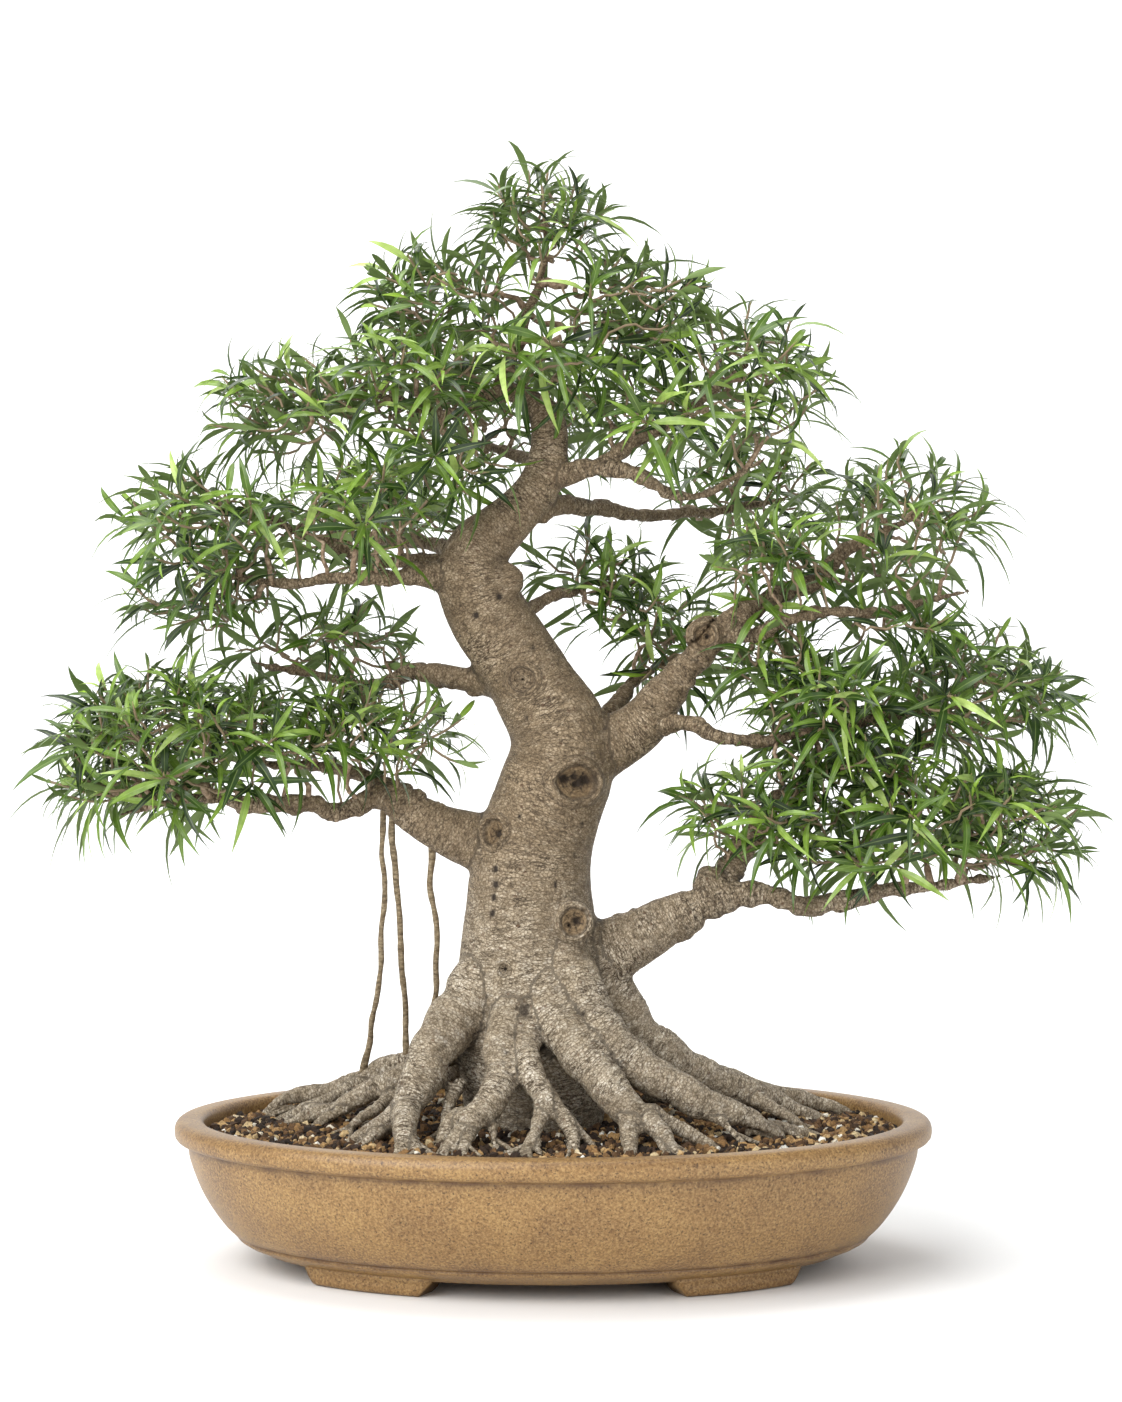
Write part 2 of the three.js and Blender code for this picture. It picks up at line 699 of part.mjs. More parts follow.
// Each clump is one to three lumps: centre, then half its length, depth and height.
const clumps = {
  foliage_apex: [
    [-6, 0, 576, 58, 56, 56],
    [-66, -4, 534, 72, 78, 44],
    [46, -4, 528, 74, 80, 44],
  ],
  foliage_crown_left: [
    [-164, -4, 464, 74, 76, 46],
    [-94, -10, 478, 72, 92, 46],
  ],
  foliage_crown_right: [
    [128, -4, 480, 74, 80, 60],
    [62, -10, 460, 60, 78, 38],
  ],
  foliage_left_high: [
    [-220, -8, 382, 86, 92, 52],
    [-124, -18, 396, 74, 96, 44],
  ],
  foliage_right_high: [
    [228, -6, 382, 80, 88, 60],
    [148, -14, 358, 66, 84, 44],
  ],
  foliage_left_mid: [[-150, 44, 314, 88, 56, 28]],
  foliage_left_low: [
    [-238, -10, 246, 116, 106, 54],
    [-122, -6, 250, 84, 84, 42],
  ],
  foliage_right_mid: [
    [268, -4, 280, 88, 92, 44],
    [178, -10, 268, 72, 88, 42],
  ],
  foliage_right_low: [
    [262, -14, 202, 98, 100, 40],
    [142, -12, 200, 84, 84, 40],
  ],
  foliage_back_left: [[-128, 118, 402, 92, 62, 46]],
  foliage_back_crown: [[-30, 112, 468, 84, 66, 54]],
  foliage_back_right: [[126, 118, 420, 84, 62, 48]],
  foliage_back_small: [[24, 62, 360, 50, 40, 32]],
  foliage_notch: [[76, 64, 310, 48, 40, 34]],
};

function lumpSolid([drawnX, drawnY, drawnHeight, ...halves], swell) {
  const [x, y, z] = grown([drawnX, drawnY, drawnHeight]);
  const lump = new THREE.IcosahedronGeometry(1, 2);
  lump.scale(...halves.map((half) => half * TREE_SCALE + swell));
  lump.translate(x, y, z);
  return solidFrom(lump);
}

for (const [name, lumps] of Object.entries(clumps)) {
  const clump = joined(lumps.map((lump) => lumpSolid(lump, 0)));
  place(crown, name, mainBody(clump.subtract(clumpRoom)), leaf);
  clumpRoom = clumpRoom.add(joined(lumps.map((lump) => lumpSolid(lump, CLEARANCE))));
}

export default bonsai;
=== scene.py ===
import math

import bmesh
import bpy
import numpy as np
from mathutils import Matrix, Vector, noise
from mathutils.bvhtree import BVHTree


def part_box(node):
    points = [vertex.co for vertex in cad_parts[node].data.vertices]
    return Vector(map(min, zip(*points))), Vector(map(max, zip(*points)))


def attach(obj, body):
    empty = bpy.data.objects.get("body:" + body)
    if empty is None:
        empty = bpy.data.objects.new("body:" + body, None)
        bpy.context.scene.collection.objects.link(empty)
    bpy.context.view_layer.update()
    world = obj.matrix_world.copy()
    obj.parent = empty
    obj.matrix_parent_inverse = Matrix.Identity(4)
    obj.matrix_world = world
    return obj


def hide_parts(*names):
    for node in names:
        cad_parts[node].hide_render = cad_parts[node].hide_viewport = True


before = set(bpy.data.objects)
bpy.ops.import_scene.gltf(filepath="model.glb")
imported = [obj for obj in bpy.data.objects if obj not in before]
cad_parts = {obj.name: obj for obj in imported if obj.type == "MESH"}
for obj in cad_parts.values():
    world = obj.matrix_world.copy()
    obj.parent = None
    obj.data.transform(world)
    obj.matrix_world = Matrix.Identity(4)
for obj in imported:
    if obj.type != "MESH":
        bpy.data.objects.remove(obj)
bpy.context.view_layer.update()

# ------------------------------------------------------------------ camera
# A short telephoto lens on a level tripod, a little under two metres from the trunk and half way up the
# tree, so that the rim of the pot is seen from just above.

camera_data = bpy.data.cameras.new("camera")
camera_data.sensor_width = 36
camera_data.lens = 69.7
camera = bpy.data.objects.new("camera", camera_data)
camera.location = (0.005, -1.765, 0.363)
camera.rotation_euler = (math.pi / 2, 0, 0)
bpy.context.collection.objects.link(camera)
bpy.context.scene.camera = camera

# ------------------------------------------------------------------ studio
# A seamless sheet of white paper, laid flat under the pot and swept up behind it in one curve, with soft
# light from three large boxes: the key on the left, a weak fill on the right and one above.


def linear(colour):
    """An sRGB hex colour as the linear red, green and blue that Blender works in, and a full alpha."""
    channels = [int(colour[i : i + 2], 16) / 255 for i in (1, 3, 5)]
    return [c / 12.92 if c <= 0.04045 else ((c + 0.055) / 1.055) ** 2.4 for c in channels] + [1]


def feed(tree, node, feeds):
    """Sets a node's inputs: each to a value on the socket, or to a link from another node's output."""
    for key, value in dict(feeds).items():
        if isinstance(value, bpy.types.NodeSocket):
            tree.links.new(value, node.inputs[key])
        else:
            node.inputs[key].default_value = value


def add(tree, kind, settings=(), feeds=()):
    """Adds a node with its own settings, where stops are those of a colour ramp, and feeds its inputs."""
    made = tree.nodes.new(kind)
    for key, value in dict(settings).items():
        if key != "stops":
            setattr(made, key, value)
            continue
        ramp = made.color_ramp
        ramp.elements.remove(ramp.elements[1])
        for i, (at, colour) in enumerate(value):
            stop = ramp.elements[0] if i == 0 else ramp.elements.new(at)
            stop.position = at
            stop.color = linear(colour)
    feed(tree, made, feeds)
    return made


def new_material(name):
    """An empty material. Returns it, its node tree, its shader and the object's own coordinates."""
    material = bpy.data.materials.new(name)
    material.use_nodes = True
    tree = material.node_tree
    tree.nodes.clear()
    shader = add(tree, "ShaderNodeBsdfPrincipled")
    add(tree, "ShaderNodeOutputMaterial", feeds={"Surface": shader.outputs[0]})
    return material, tree, shader, add(tree, "ShaderNodeTexCoord").outputs["Object"]


def mesh_object(name, points, faces, material):
    """A smooth mesh piece from points in metres."""
    mesh = bpy.data.meshes.new(name)
    mesh.from_pydata([tuple(p) for p in points], [], faces)
    mesh.validate()
    mesh.shade_smooth()
    mesh.materials.append(material)
    piece = bpy.data.objects.new(name, mesh)
    bpy.context.collection.objects.link(piece)
    return piece


# Matt paper gives the eye an even white with no shine, and only the pot's soft shadow on it. The far paper
# glows, as paper does that has lamps of its own, and near the pot only the soft boxes light it.
paper, tree, shader, place = new_material("matt_white_studio_paper")
far = add(tree, "ShaderNodeVectorMath", {"operation": "LENGTH"}, {0: place})
glow = add(tree, "ShaderNodeMapRange", {"interpolation_type": "SMOOTHSTEP"},
           {0: far.outputs["Value"], 1: 0.25, 2: 1.1, 3: 0.0, 4: 0.32})
feed(tree, shader, {"Base Color": linear("#efefee"), "Roughness": 0.9, "Emission Color": linear("#fafafa"),
                    "Emission Strength": glow.outputs[0]})

PAPER_FRONT, PAPER_TOP, PAPER_HALF = -4.0, 4.0, 5.0
SWEEP_START, SWEEP_RADIUS, SWEEP_STEPS = 1.6, 1.2, 16
sweep = [(PAPER_FRONT, 0.0), (SWEEP_START, 0.0)]
for i in range(1, SWEEP_STEPS + 1):
    turn = i / SWEEP_STEPS * math.pi / 2
    sweep.append((SWEEP_START + SWEEP_RADIUS * math.sin(turn), SWEEP_RADIUS * (1 - math.cos(turn))))
sweep.append((SWEEP_START + SWEEP_RADIUS, PAPER_TOP))
paper_points = [(side * PAPER_HALF, y, z) for y, z in sweep for side in (-1, 1)]
paper_faces = [(2 * i, 2 * i + 1, 2 * i + 3, 2 * i + 2) for i in range(len(sweep) - 1)]
backdrop = mesh_object("studio_paper", paper_points, paper_faces, paper)

world = bpy.data.worlds.new("studio")
world.use_nodes = True
world.use_nodes = True
feed(world.node_tree, world.node_tree.nodes["Background"], {"Color": linear("#fbfcff"), "Strength": 0.6})
bpy.context.scene.world = world
bpy.context.scene.view_settings.view_transform = "Standard"


def soft_box(name, place, aim, size, watts):
    """A square box of soft light, its size in metres."""
    lamp = bpy.data.lights.new(name, "AREA")
    lamp.shape = "SQUARE"
    lamp.size = size
    lamp.energy = watts
    box = bpy.data.objects.new(name, lamp)
    box.location = place
    box.rotation_euler = (Vector(aim) - Vector(place)).to_track_quat("-Z", "Y").to_euler()
    bpy.context.collection.objects.link(box)


soft_box("key_box", (-1.4, -1.65, 1.7), (0, 0, 0.3), 2.2, 84)
soft_box("fill_box", (1.5, -2.0, 0.8), (0, 0, 0.25), 1.6, 12)
soft_box("top_box", (-0.3, 0.3, 2.4), (0, 0, 0.3), 1.8, 40)

# ------------------------------------------------------------------ pot
# An oval bonsai pot of stoneware, slip-cast or pressed in a mould, with a satin oatmeal glaze that
# breaks to rust brown on its edges. Four feet carry it, and two holes in its floor drain it.

MM = 0.001
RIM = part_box("pot")[1][0] / MM
RIM_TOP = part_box("pot")[1][2] / MM
OVAL_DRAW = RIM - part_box("pot")[1][1] / MM
RIM_OVAL = 1.36  # how much longer than deep the rim is
FOOT = 9.0
POT_SIDES = 192


def oval_depth(radius):
    """Half the depth in mm of an oval of this half length. Near the middle it's half as deep as long."""
    return radius - OVAL_DRAW if radius > 2 * OVAL_DRAW else radius / 2


def smooth_path(corners, per_span=6):
    """A Catmull-Rom curve through rows of numbers, as an array."""
    rows = np.array(corners, float)
    padded = np.vstack([2 * rows[0] - rows[1], rows, 2 * rows[-1] - rows[-2]])
    out = []
    for i in range(len(rows) - 1):
        a, b, c, d = padded[i : i + 4]
        for t in np.arange(per_span) / per_span:
            out.append(0.5 * (2 * b + (c - a) * t + (2 * a - 5 * b + 4 * c - d) * t**2
                              + (3 * b - a - 3 * c + d) * t**3))
    out.append(rows[-1])
    return np.array(out)


def ring_faces(rings, sides, first=0):
    """Quads that join rings of points, the first of them at the index first."""
    faces = []
    for i in range(rings - 1):
        for k in range(sides):
            a, b = first + i * sides + k, first + i * sides + (k + 1) % sides
            faces.append((a, b, b + sides, a + sides))
    return faces


def closed_faces(rings, sides):
    """The faces of a closed body whose points are a pole, its rings and a pole."""
    last = 1 + (rings - 1) * sides
    around = [(k, (k + 1) % sides) for k in range(sides)]
    return ([(0, 1 + b, 1 + a) for a, b in around] + ring_faces(rings, sides, 1)
            + [(last + sides, last + a, last + b) for a, b in around])


def oval_piece(name, profile, sides, material):
    """Turns a closed profile of (radius, height) in mm that starts and ends on the axis."""
    points = [(0, 0, profile[0][1] * MM)]
    for radius, height in profile[1:-1]:
        for k in range(sides):
            turn = 2 * math.pi * k / sides
            x, y = radius * math.cos(turn), oval_depth(radius) * math.sin(turn)
            points.append((x * MM, y * MM, height * MM))
    points.append((0, 0, profile[-1][1] * MM))
    return mesh_object(name, points, closed_faces(len(profile) - 2, sides), material)


LAID_OVER = {"data_type": "RGBA"}  # a Mix node that lays one colour over another
TINTED = {"data_type": "RGBA", "blend_type": "MULTIPLY"}  # a Mix node that darkens one colour by another

# Satin glaze, fired on stoneware, gives the eye a soft shine over tan. The tan is clouded over about 40 mm,
# where the glaze lies thicker, has iron specks of 1 to 2 mm, and is rust brown where it ran thin on edges.
# In the grooves below the rim and above the low band, the same brown is painted shade.
glaze, tree, shader, place = new_material("satin_oatmeal_glaze_on_stoneware")
cloud = add(tree, "ShaderNodeTexNoise", feeds={"Vector": place, "Scale": 26, "Detail": 4})
mottle = add(tree, "ShaderNodeTexNoise", feeds={"Vector": place, "Scale": 620, "Detail": 4, "Roughness": 0.6})
speck = add(tree, "ShaderNodeTexNoise", feeds={"Vector": place, "Scale": 780, "Detail": 3})
ground = add(tree, "ShaderNodeValToRGB", {"stops": [(0.32, "#735530"), (0.5, "#8a693c"), (0.68, "#9b7a48")]},
             {"Fac": cloud.outputs["Fac"]})
fleck = add(tree, "ShaderNodeValToRGB", {"stops": [(0.36, "#4f341a"), (0.47, "#85643a"), (0.66, "#b69866")]},
            {"Fac": mottle.outputs["Fac"]})
body = add(tree, "ShaderNodeMix", LAID_OVER, {0: 0.5, 6: ground.outputs[0], 7: fleck.outputs[0]})
pits = add(tree, "ShaderNodeValToRGB", {"stops": [(0.33, "#4a301a"), (0.43, "#ffffff")]},
           {"Fac": speck.outputs["Fac"]})
speckled = add(tree, "ShaderNodeMix", TINTED, {0: 0.7, 6: body.outputs[2], 7: pits.outputs[0]})
# Rust brown where the glaze ran thin on the lip, darker brown towards the feet, and painted shade in the two
# grooves.
edge = add(tree, "ShaderNodeAttribute", {"attribute_name": "wear_and_groove_shade"})
worn_and_shaded = add(tree, "ShaderNodeMix", LAID_OVER,
           {0: edge.outputs["Fac"], 6: speckled.outputs[2], 7: linear("#52341a")})
shine = add(tree, "ShaderNodeMapRange", feeds={0: mottle.outputs["Fac"], 3: 0.3, 4: 0.55})
ripple = add(tree, "ShaderNodeBump",
             feeds={"Strength": 0.35, "Distance": 0.0006, "Height": mottle.outputs["Fac"]})
feed(tree, shader, {"Base Color": worn_and_shaded.outputs[2], "Roughness": shine.outputs[0],
                    "Normal": ripple.outputs[0]})

wall = smooth_path([(207, 21), (213, 27), (220.5, 37), (227.5, 49), (232.5, 61), (235.6, 71), (236.4, 78)], 5)
outside = [(0, FOOT), (150, FOOT), (182, FOOT), (187, FOOT + 0.3), (189.6, FOOT + 1.2), (192, 11.5),
           (196, 13.2), (200.5, 15.2), (203.4, 17), (204.6, 18.1), (204.9, 18.8), (204.4, 19.4),
           (204.6, 20.2)]
outside += [tuple(p) for p in wall]
outside += [(236.6, 79.3), (237.6, 80), (240.6, 80.4), (243.2, 81.4), (244.6, 83.2), (RIM, 85.5), (RIM, 88),
            (244.4, 90.4), (243.2, 92.2), (241.4, 93.4), (238.5, RIM_TOP)]
inside = [(231, RIM_TOP), (228.6, 93.6), (226.9, 92.5), (226.2, 90.6), (226, 88), (225.8, 80), (222, 60),
          (208, 34), (188, 22), (150, 20), (0, 20)]
pot = oval_piece("pot_body", outside + inside, POT_SIDES, glaze)

FOOT_FROM, FOOT_TO, FOOT_SLANT, FOOT_STEPS = math.radians(37), math.radians(67), math.radians(2.6), 22
foot_section = [(169, 13), (169, 3), (170.5, 0.6), (173, 0), (188.5, 0), (191, 0.7), (192.4, 2.4), (192.6, 6),
                (192.2, 8.6), (193, 10), (192.4, 13)]
# One foot's section is swept along the oval and mirrored to the other three corners.
foot_points, foot_faces = [], []
for mirror_x, mirror_y in ((1, 1), (-1, 1), (1, -1), (-1, -1)):
    first = len(foot_points)
    for i in range(FOOT_STEPS + 1):
        for radius, height in foot_section:
            # The ends are cut back towards the table, so a foot is shorter below than above.
            cut = FOOT_SLANT * (1 - min(height, FOOT) / FOOT)
            turn = FOOT_FROM + cut + (FOOT_TO - FOOT_FROM - 2 * cut) * i / FOOT_STEPS
            foot_points.append((mirror_x * radius * math.cos(turn) * MM,
                                mirror_y * oval_depth(radius) * math.sin(turn) * MM, height * MM))
    width = len(foot_section)
    ends = [list(range(first, first + width))[::-1], list(range(len(foot_points) - width, len(foot_points)))]
    made = ends + ring_faces(FOOT_STEPS + 1, width, first)
    outward = mirror_x * mirror_y > 0
    foot_faces += [tuple(f) if outward else tuple(reversed(f)) for f in made]
feet = mesh_object("pot_feet", foot_points, foot_faces, glaze)


def joined(name, pieces):
    """One object from several, in the order given."""
    bpy.ops.object.select_all(action="DESELECT")
    for piece in pieces:
        piece.select_set(True)
    bpy.context.view_layer.objects.active = pieces[0]
    bpy.ops.object.join()
    pieces[0].name = name
    return pieces[0]


def turned_outwards(piece):
    """Turns every face of a closed piece outwards."""
    shell = bmesh.new()
    shell.from_mesh(piece.data)
    bmesh.ops.recalc_face_normals(shell, faces=shell.faces)
    shell.to_mesh(piece.data)
    shell.free()
    return piece


def store(piece, name, values, domain="POINT"):
    """Stores a number or a vector for each point, or for each face, for a material or a tree to read."""
    values = np.asarray(values, np.float32)
    kind, part = ("FLOAT", "value") if values.ndim == 1 else ("FLOAT_VECTOR", "vector")
    layer = piece.data.attributes.new(name, kind, domain)
    layer.data.foreach_set(part, values.ravel())


def hump(value, middle, width):
    """1 in the middle, and less to both sides, with little left at twice the width."""
    return np.exp(-(((value - middle) / width) ** 2))


# Rust brown on the lip, where the glaze ran thin, and darker brown towards the feet. The same brown in
# the grooves below the rim and above the low band is painted shade.
LIP, LOW_GROOVE, RIM_GROOVE, FOOT_WEAR = 91.5, 20.3, 79.2, 13
pot = turned_outwards(joined("glazed_pot", [pot, feet]))
wear_and_shade = []
for v in pot.data.vertices:
    x, y, z = (c / MM for c in v.co)
    lip = 0.35 * hump(z, LIP, 1.6) if math.hypot(x, y * RIM_OVAL) > 225 else 0
    groove_shade = 0.95 * hump(z, LOW_GROOVE, 2.0) + 0.95 * hump(z, RIM_GROOVE, 2.2)
    bottom = 0.35 * max(0, 1 - z / FOOT_WEAR) ** 0.8
    uneven = 0.6 + 0.8 * noise.noise(Vector((x, y, z * 2)) * 0.08)
    wear_and_shade.append(min(1, max(0, (lip + groove_shade + bottom) * uneven)))
store(pot, "wear_and_groove_shade", wear_and_shade)

# Two round holes through the floor let the water out.
DRAIN_X, DRAIN_RADIUS, DRAIN_SIDES = 95, 12, 48
drill_points, drill_faces = [], []
for side in (-1, 1):
    first = len(drill_points)
    for height in (FOOT - 6, 26):
        for k in range(DRAIN_SIDES):
            turn = 2 * math.pi * k / DRAIN_SIDES
            drill_points.append(((side * DRAIN_X + DRAIN_RADIUS * math.cos(turn)) * MM,
                                 DRAIN_RADIUS * math.sin(turn) * MM, height * MM))
    upper, end = first + DRAIN_SIDES, first + 2 * DRAIN_SIDES
    drill_faces += [tuple(range(upper - 1, first - 1, -1)), tuple(range(upper, end))]
    drill_faces += ring_faces(2, DRAIN_SIDES, first)
drill = mesh_object("drill", drill_points, drill_faces, glaze)
cut = pot.modifiers.new("drain_holes", "BOOLEAN")
cut.operation, cut.solver, cut.object = "DIFFERENCE", "EXACT", drill
drilled = bpy.data.meshes.new_from_object(pot.evaluated_get(bpy.context.evaluated_depsgraph_get()))
pot.modifiers.clear()
pot.data = drilled
bpy.data.objects.remove(drill)
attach(pot, "root")
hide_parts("pot")

# ------------------------------------------------------------------ drain screens and wires
# Squares of black plastic mesh over the drain holes, each held by a staple of anodised aluminium wire
# that is bent flat below the floor. Their CAD shapes stay.

# Extruded mesh gives the eye a dull black, greyed by soil dust in scuffs about 2 mm across.
plastic, tree, shader, place = new_material("extruded_black_plastic_mesh")
scuff = add(tree, "ShaderNodeTexNoise", feeds={"Vector": place, "Scale": 500, "Detail": 3})
dust = add(tree, "ShaderNodeValToRGB", {"stops": [(0.4, "#161616"), (0.62, "#2c2a27"), (0.75, "#564e42")]},
           {"Fac": scuff.outputs["Fac"]})
relief = add(tree, "ShaderNodeBump",
             feeds={"Strength": 0.3, "Distance": 0.0003, "Height": scuff.outputs["Fac"]})
feed(tree, shader, {"Base Color": dust.outputs[0], "Roughness": 0.5, "Normal": relief.outputs[0]})

# Anodised aluminium gives the eye a copper-brown metal sheen, with faint lines along the wire from the die
# that it was drawn through, about 0.3 mm apart.
wire_metal, tree, shader, place = new_material("copper_brown_anodised_aluminium_wire")
long_place = add(tree, "ShaderNodeMapping", feeds={0: place, 3: (0.1, 1, 1)})
drawn = add(tree, "ShaderNodeTexNoise", feeds={"Vector": long_place.outputs[0], "Scale": 3000, "Detail": 2})
anodised = add(tree, "ShaderNodeValToRGB", {"stops": [(0.35, "#7c4d31"), (0.65, "#a8744f")]},
               {"Fac": drawn.outputs["Fac"]})
feed(tree, shader, {"Base Color": anodised.outputs[0], "Metallic": 1, "Roughness": 0.38})
for side in ("left", "right"):
    for node, finish in (("drain_screen_", plastic), ("screen_wire_", wire_metal)):
        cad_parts[node + side].material_slots[0].material = finish

# ------------------------------------------------------------------ soil
# A gritty bonsai mix, fired clay, pumice and dark bark, heaped a little towards the trunk. A bed fills
# the pot, and the loose granules of its top layer lie on it.

SOIL_WALL, SOIL_EDGE, SOIL_CROWN, SOIL_BOTTOM, SCREEN_ROOM = 225.4, 84.6, 88.5, 20.3, 24.2
SOIL_OVAL = 1.38  # how much longer than deep the soil is


def soil_height(x, y):
    """The top of the soil bed in mm."""
    out = min(1, math.hypot(x, y * SOIL_OVAL) / SOIL_WALL)
    rough = noise.noise(Vector((x, y, 0)) * 0.03) * 1.8 + noise.noise(Vector((x, y, 40)) * 0.12) * 0.9
    return SOIL_EDGE + (SOIL_CROWN - SOIL_EDGE) * (1 - out**1.7) + rough * (1 - 0.5 * out**6)


bed_rings = [8 + (SOIL_WALL - 8) * (i / 60) ** 0.85 for i in range(61)]
bed_profile = [(0, SOIL_BOTTOM)] + [(r * 188 / SOIL_WALL, SOIL_BOTTOM) for r in bed_rings[::5]]
bed_profile += [(208, 36), (221, 62), (224.6, 80)]
bed_profile += [(r, SOIL_EDGE) for r in bed_rings[::-1]] + [(0, SOIL_CROWN)]

# Fired and broken grains give the eye no shine at all: each has its own brown, tan or near white, with pores
# of about 1.4 mm, drawn coarser than the real ones so that they show.
grit, tree, shader, place = new_material("fired_clay_and_bark_granules")
shade = add(tree, "ShaderNodeAttribute", {"attribute_name": "shade"})
kinds = add(tree, "ShaderNodeValToRGB",
            {"stops": [(0.0, "#1b130c"), (0.3, "#3c2a1a"), (0.52, "#62472c"), (0.7, "#8a683f"),
                       (0.86, "#b08d5c"), (0.95, "#d1bb8f"), (0.985, "#efece0")]},
            {"Fac": shade.outputs["Fac"]})
crumb = add(tree, "ShaderNodeTexNoise", feeds={"Vector": place, "Scale": 700, "Detail": 4, "Roughness": 0.7})
pores = add(tree, "ShaderNodeValToRGB", {"stops": [(0.32, "#4c4136"), (0.55, "#ffffff")]},
            {"Fac": crumb.outputs["Fac"]})
gritty = add(tree, "ShaderNodeMix", TINTED, {0: 0.7, 6: kinds.outputs[0], 7: pores.outputs[0]})
relief = add(tree, "ShaderNodeBump",
             feeds={"Strength": 0.7, "Distance": 0.0009, "Height": crumb.outputs["Fac"]})
feed(tree, shader, {"Base Color": gritty.outputs[2], "Roughness": 0.95, "Normal": relief.outputs[0]})

bed = turned_outwards(oval_piece("soil_bed", bed_profile, POT_SIDES, grit))
for v in bed.data.vertices:
    x, y, z = (c / MM for c in v.co)
    if z > SOIL_EDGE - 1:
        v.co.z = soil_height(x, y) * MM
    elif z < SOIL_BOTTOM + 1 and max(abs(abs(x) - DRAIN_X), abs(y)) < 30:
        v.co.z = SCREEN_ROOM * MM
# The bed under the loose granules takes the darkest browns: painted shade in the gaps between them.
store(bed, "shade", [0.06 + 0.08 * noise.noise(v.co / MM * 0.3) for v in bed.data.vertices])


def node_group(name, inputs=()):
    """A Geometry Nodes tree with named inputs of (socket type, value). Returns it and its two end nodes."""
    group = bpy.data.node_groups.new(name, "GeometryNodeTree")
    group.interface.new_socket("Geometry", in_out="INPUT", socket_type="NodeSocketGeometry")
    for label, (kind, value) in dict(inputs).items():
        socket = group.interface.new_socket(label, in_out="INPUT", socket_type="NodeSocket" + kind)
        if value is not None:
            socket.default_value = value
    group.interface.new_socket("Geometry", in_out="OUTPUT", socket_type="NodeSocketGeometry")
    return group, add(group, "NodeGroupInput").outputs, add(group, "NodeGroupOutput")


def made_by(group, carrier, name, values=()):
    """The plain mesh that a Geometry Nodes tree makes of a carrier piece, which it takes the place of."""
    grow = carrier.modifiers.new("grow", "NODES")
    grow.node_group = group
    ids = {item.name: item.identifier for item in group.interface.items_tree if item.in_out == "INPUT"}
    for label, value in dict(values).items():
        grow[ids[label]] = value
    made = bpy.data.meshes.new_from_object(carrier.evaluated_get(bpy.context.evaluated_depsgraph_get()))
    carrier.modifiers.clear()
    bpy.data.objects.remove(carrier)
    made.name = name
    piece = bpy.data.objects.new(name, made)
    bpy.context.collection.objects.link(piece)
    return piece


def pebble(name, seed):
    """A crushed grain, about one unit across."""
    bpy.ops.mesh.primitive_ico_sphere_add(subdivisions=1, radius=0.5)
    grain = bpy.context.object
    grain.name = name
    for v in grain.data.vertices:
        v.co *= 1 + 0.55 * noise.noise(v.co * 2.3 + Vector((seed, 0, 0)))
        v.co.z *= 0.8
    grain.data.materials.append(grit)
    return grain


pebbles = [pebble("pebble_" + str(i), 11.3 * i) for i in range(4)]
group, given, out = node_group("loose_granules", {
    "Density": ("Float", 58000.0), "Smallest": ("Float", 0.0028), "Largest": ("Float", 0.0088),
    "Seed": ("Int", 5), "Material": ("Material", None)})
spread = add(group, "GeometryNodeDistributePointsOnFaces", {"distribute_method": "RANDOM"},
             {"Mesh": given["Geometry"], "Density": given["Density"], "Seed": given["Seed"]})
shapes = add(group, "GeometryNodeJoinGeometry")
for grain in pebbles:
    link = add(group, "GeometryNodeObjectInfo", feeds={"Object": grain, "As Instance": True})
    group.links.new(link.outputs["Geometry"], shapes.inputs[0])
turn = add(group, "FunctionNodeRandomValue", {"data_type": "FLOAT_VECTOR"},
           {"Min": (0, 0, 0), "Max": (6.28, 6.28, 6.28), "Seed": 3})
dice = add(group, "FunctionNodeRandomValue", {"data_type": "FLOAT"}, {"Seed": 8})
skewed = add(group, "ShaderNodeMath", {"operation": "POWER"}, {0: dice.outputs[1], 1: 2.2})
size = add(group, "ShaderNodeMapRange",
           feeds={0: skewed.outputs[0], 3: given["Smallest"], 4: given["Largest"]})
which = add(group, "FunctionNodeRandomValue", {"data_type": "INT"}, {4: 0, 5: len(pebbles) - 1, "Seed": 6})
grains = add(group, "GeometryNodeInstanceOnPoints",
             feeds={"Points": spread.outputs["Points"], "Instance": shapes.outputs[0], "Pick Instance": True,
                    "Instance Index": which.outputs[2], "Rotation": turn.outputs[0],
                    "Scale": size.outputs[0]})
tint = add(group, "FunctionNodeRandomValue", {"data_type": "FLOAT"}, {"Seed": 12})
kept = add(group, "GeometryNodeStoreNamedAttribute", {"data_type": "FLOAT", "domain": "INSTANCE"},
           {"Geometry": grains.outputs[0], "Name": "shade", "Value": tint.outputs[1]})
solid = add(group, "GeometryNodeRealizeInstances", feeds={0: kept.outputs[0]})
finish = add(group, "GeometryNodeSetMaterial", feeds={0: solid.outputs[0], "Material": given["Material"]})
group.links.new(finish.outputs[0], out.inputs[0])

CARRIER_SIDES, CARRIER_LIFT = 96, 0.8
top_rings = [r for r in bed_rings if r < SOIL_WALL - 3]
carrier_points = []
for radius in top_rings:
    for k in range(CARRIER_SIDES):
        turn_at = 2 * math.pi * k / CARRIER_SIDES
        x, y = radius * math.cos(turn_at), oval_depth(radius) * math.sin(turn_at)
        carrier_points.append((x * MM, y * MM, (soil_height(x, y) + CARRIER_LIFT) * MM))
carrier = mesh_object("granule_carrier", carrier_points, ring_faces(len(top_rings), CARRIER_SIDES), grit)
granules = made_by(group, carrier, "soil_granules", {"Material": grit})
for grain in pebbles:
    bpy.data.objects.remove(grain)
for piece in (bed, granules):
    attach(piece, "root")
    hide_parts("soil")

# ------------------------------------------------------------------ trunk and surface roots
# One grown piece: a swept trunk that spreads into surface roots. The bark is thin and smooth, creased
# where the wood has swollen, with rolled scars where branches were cut off years ago.

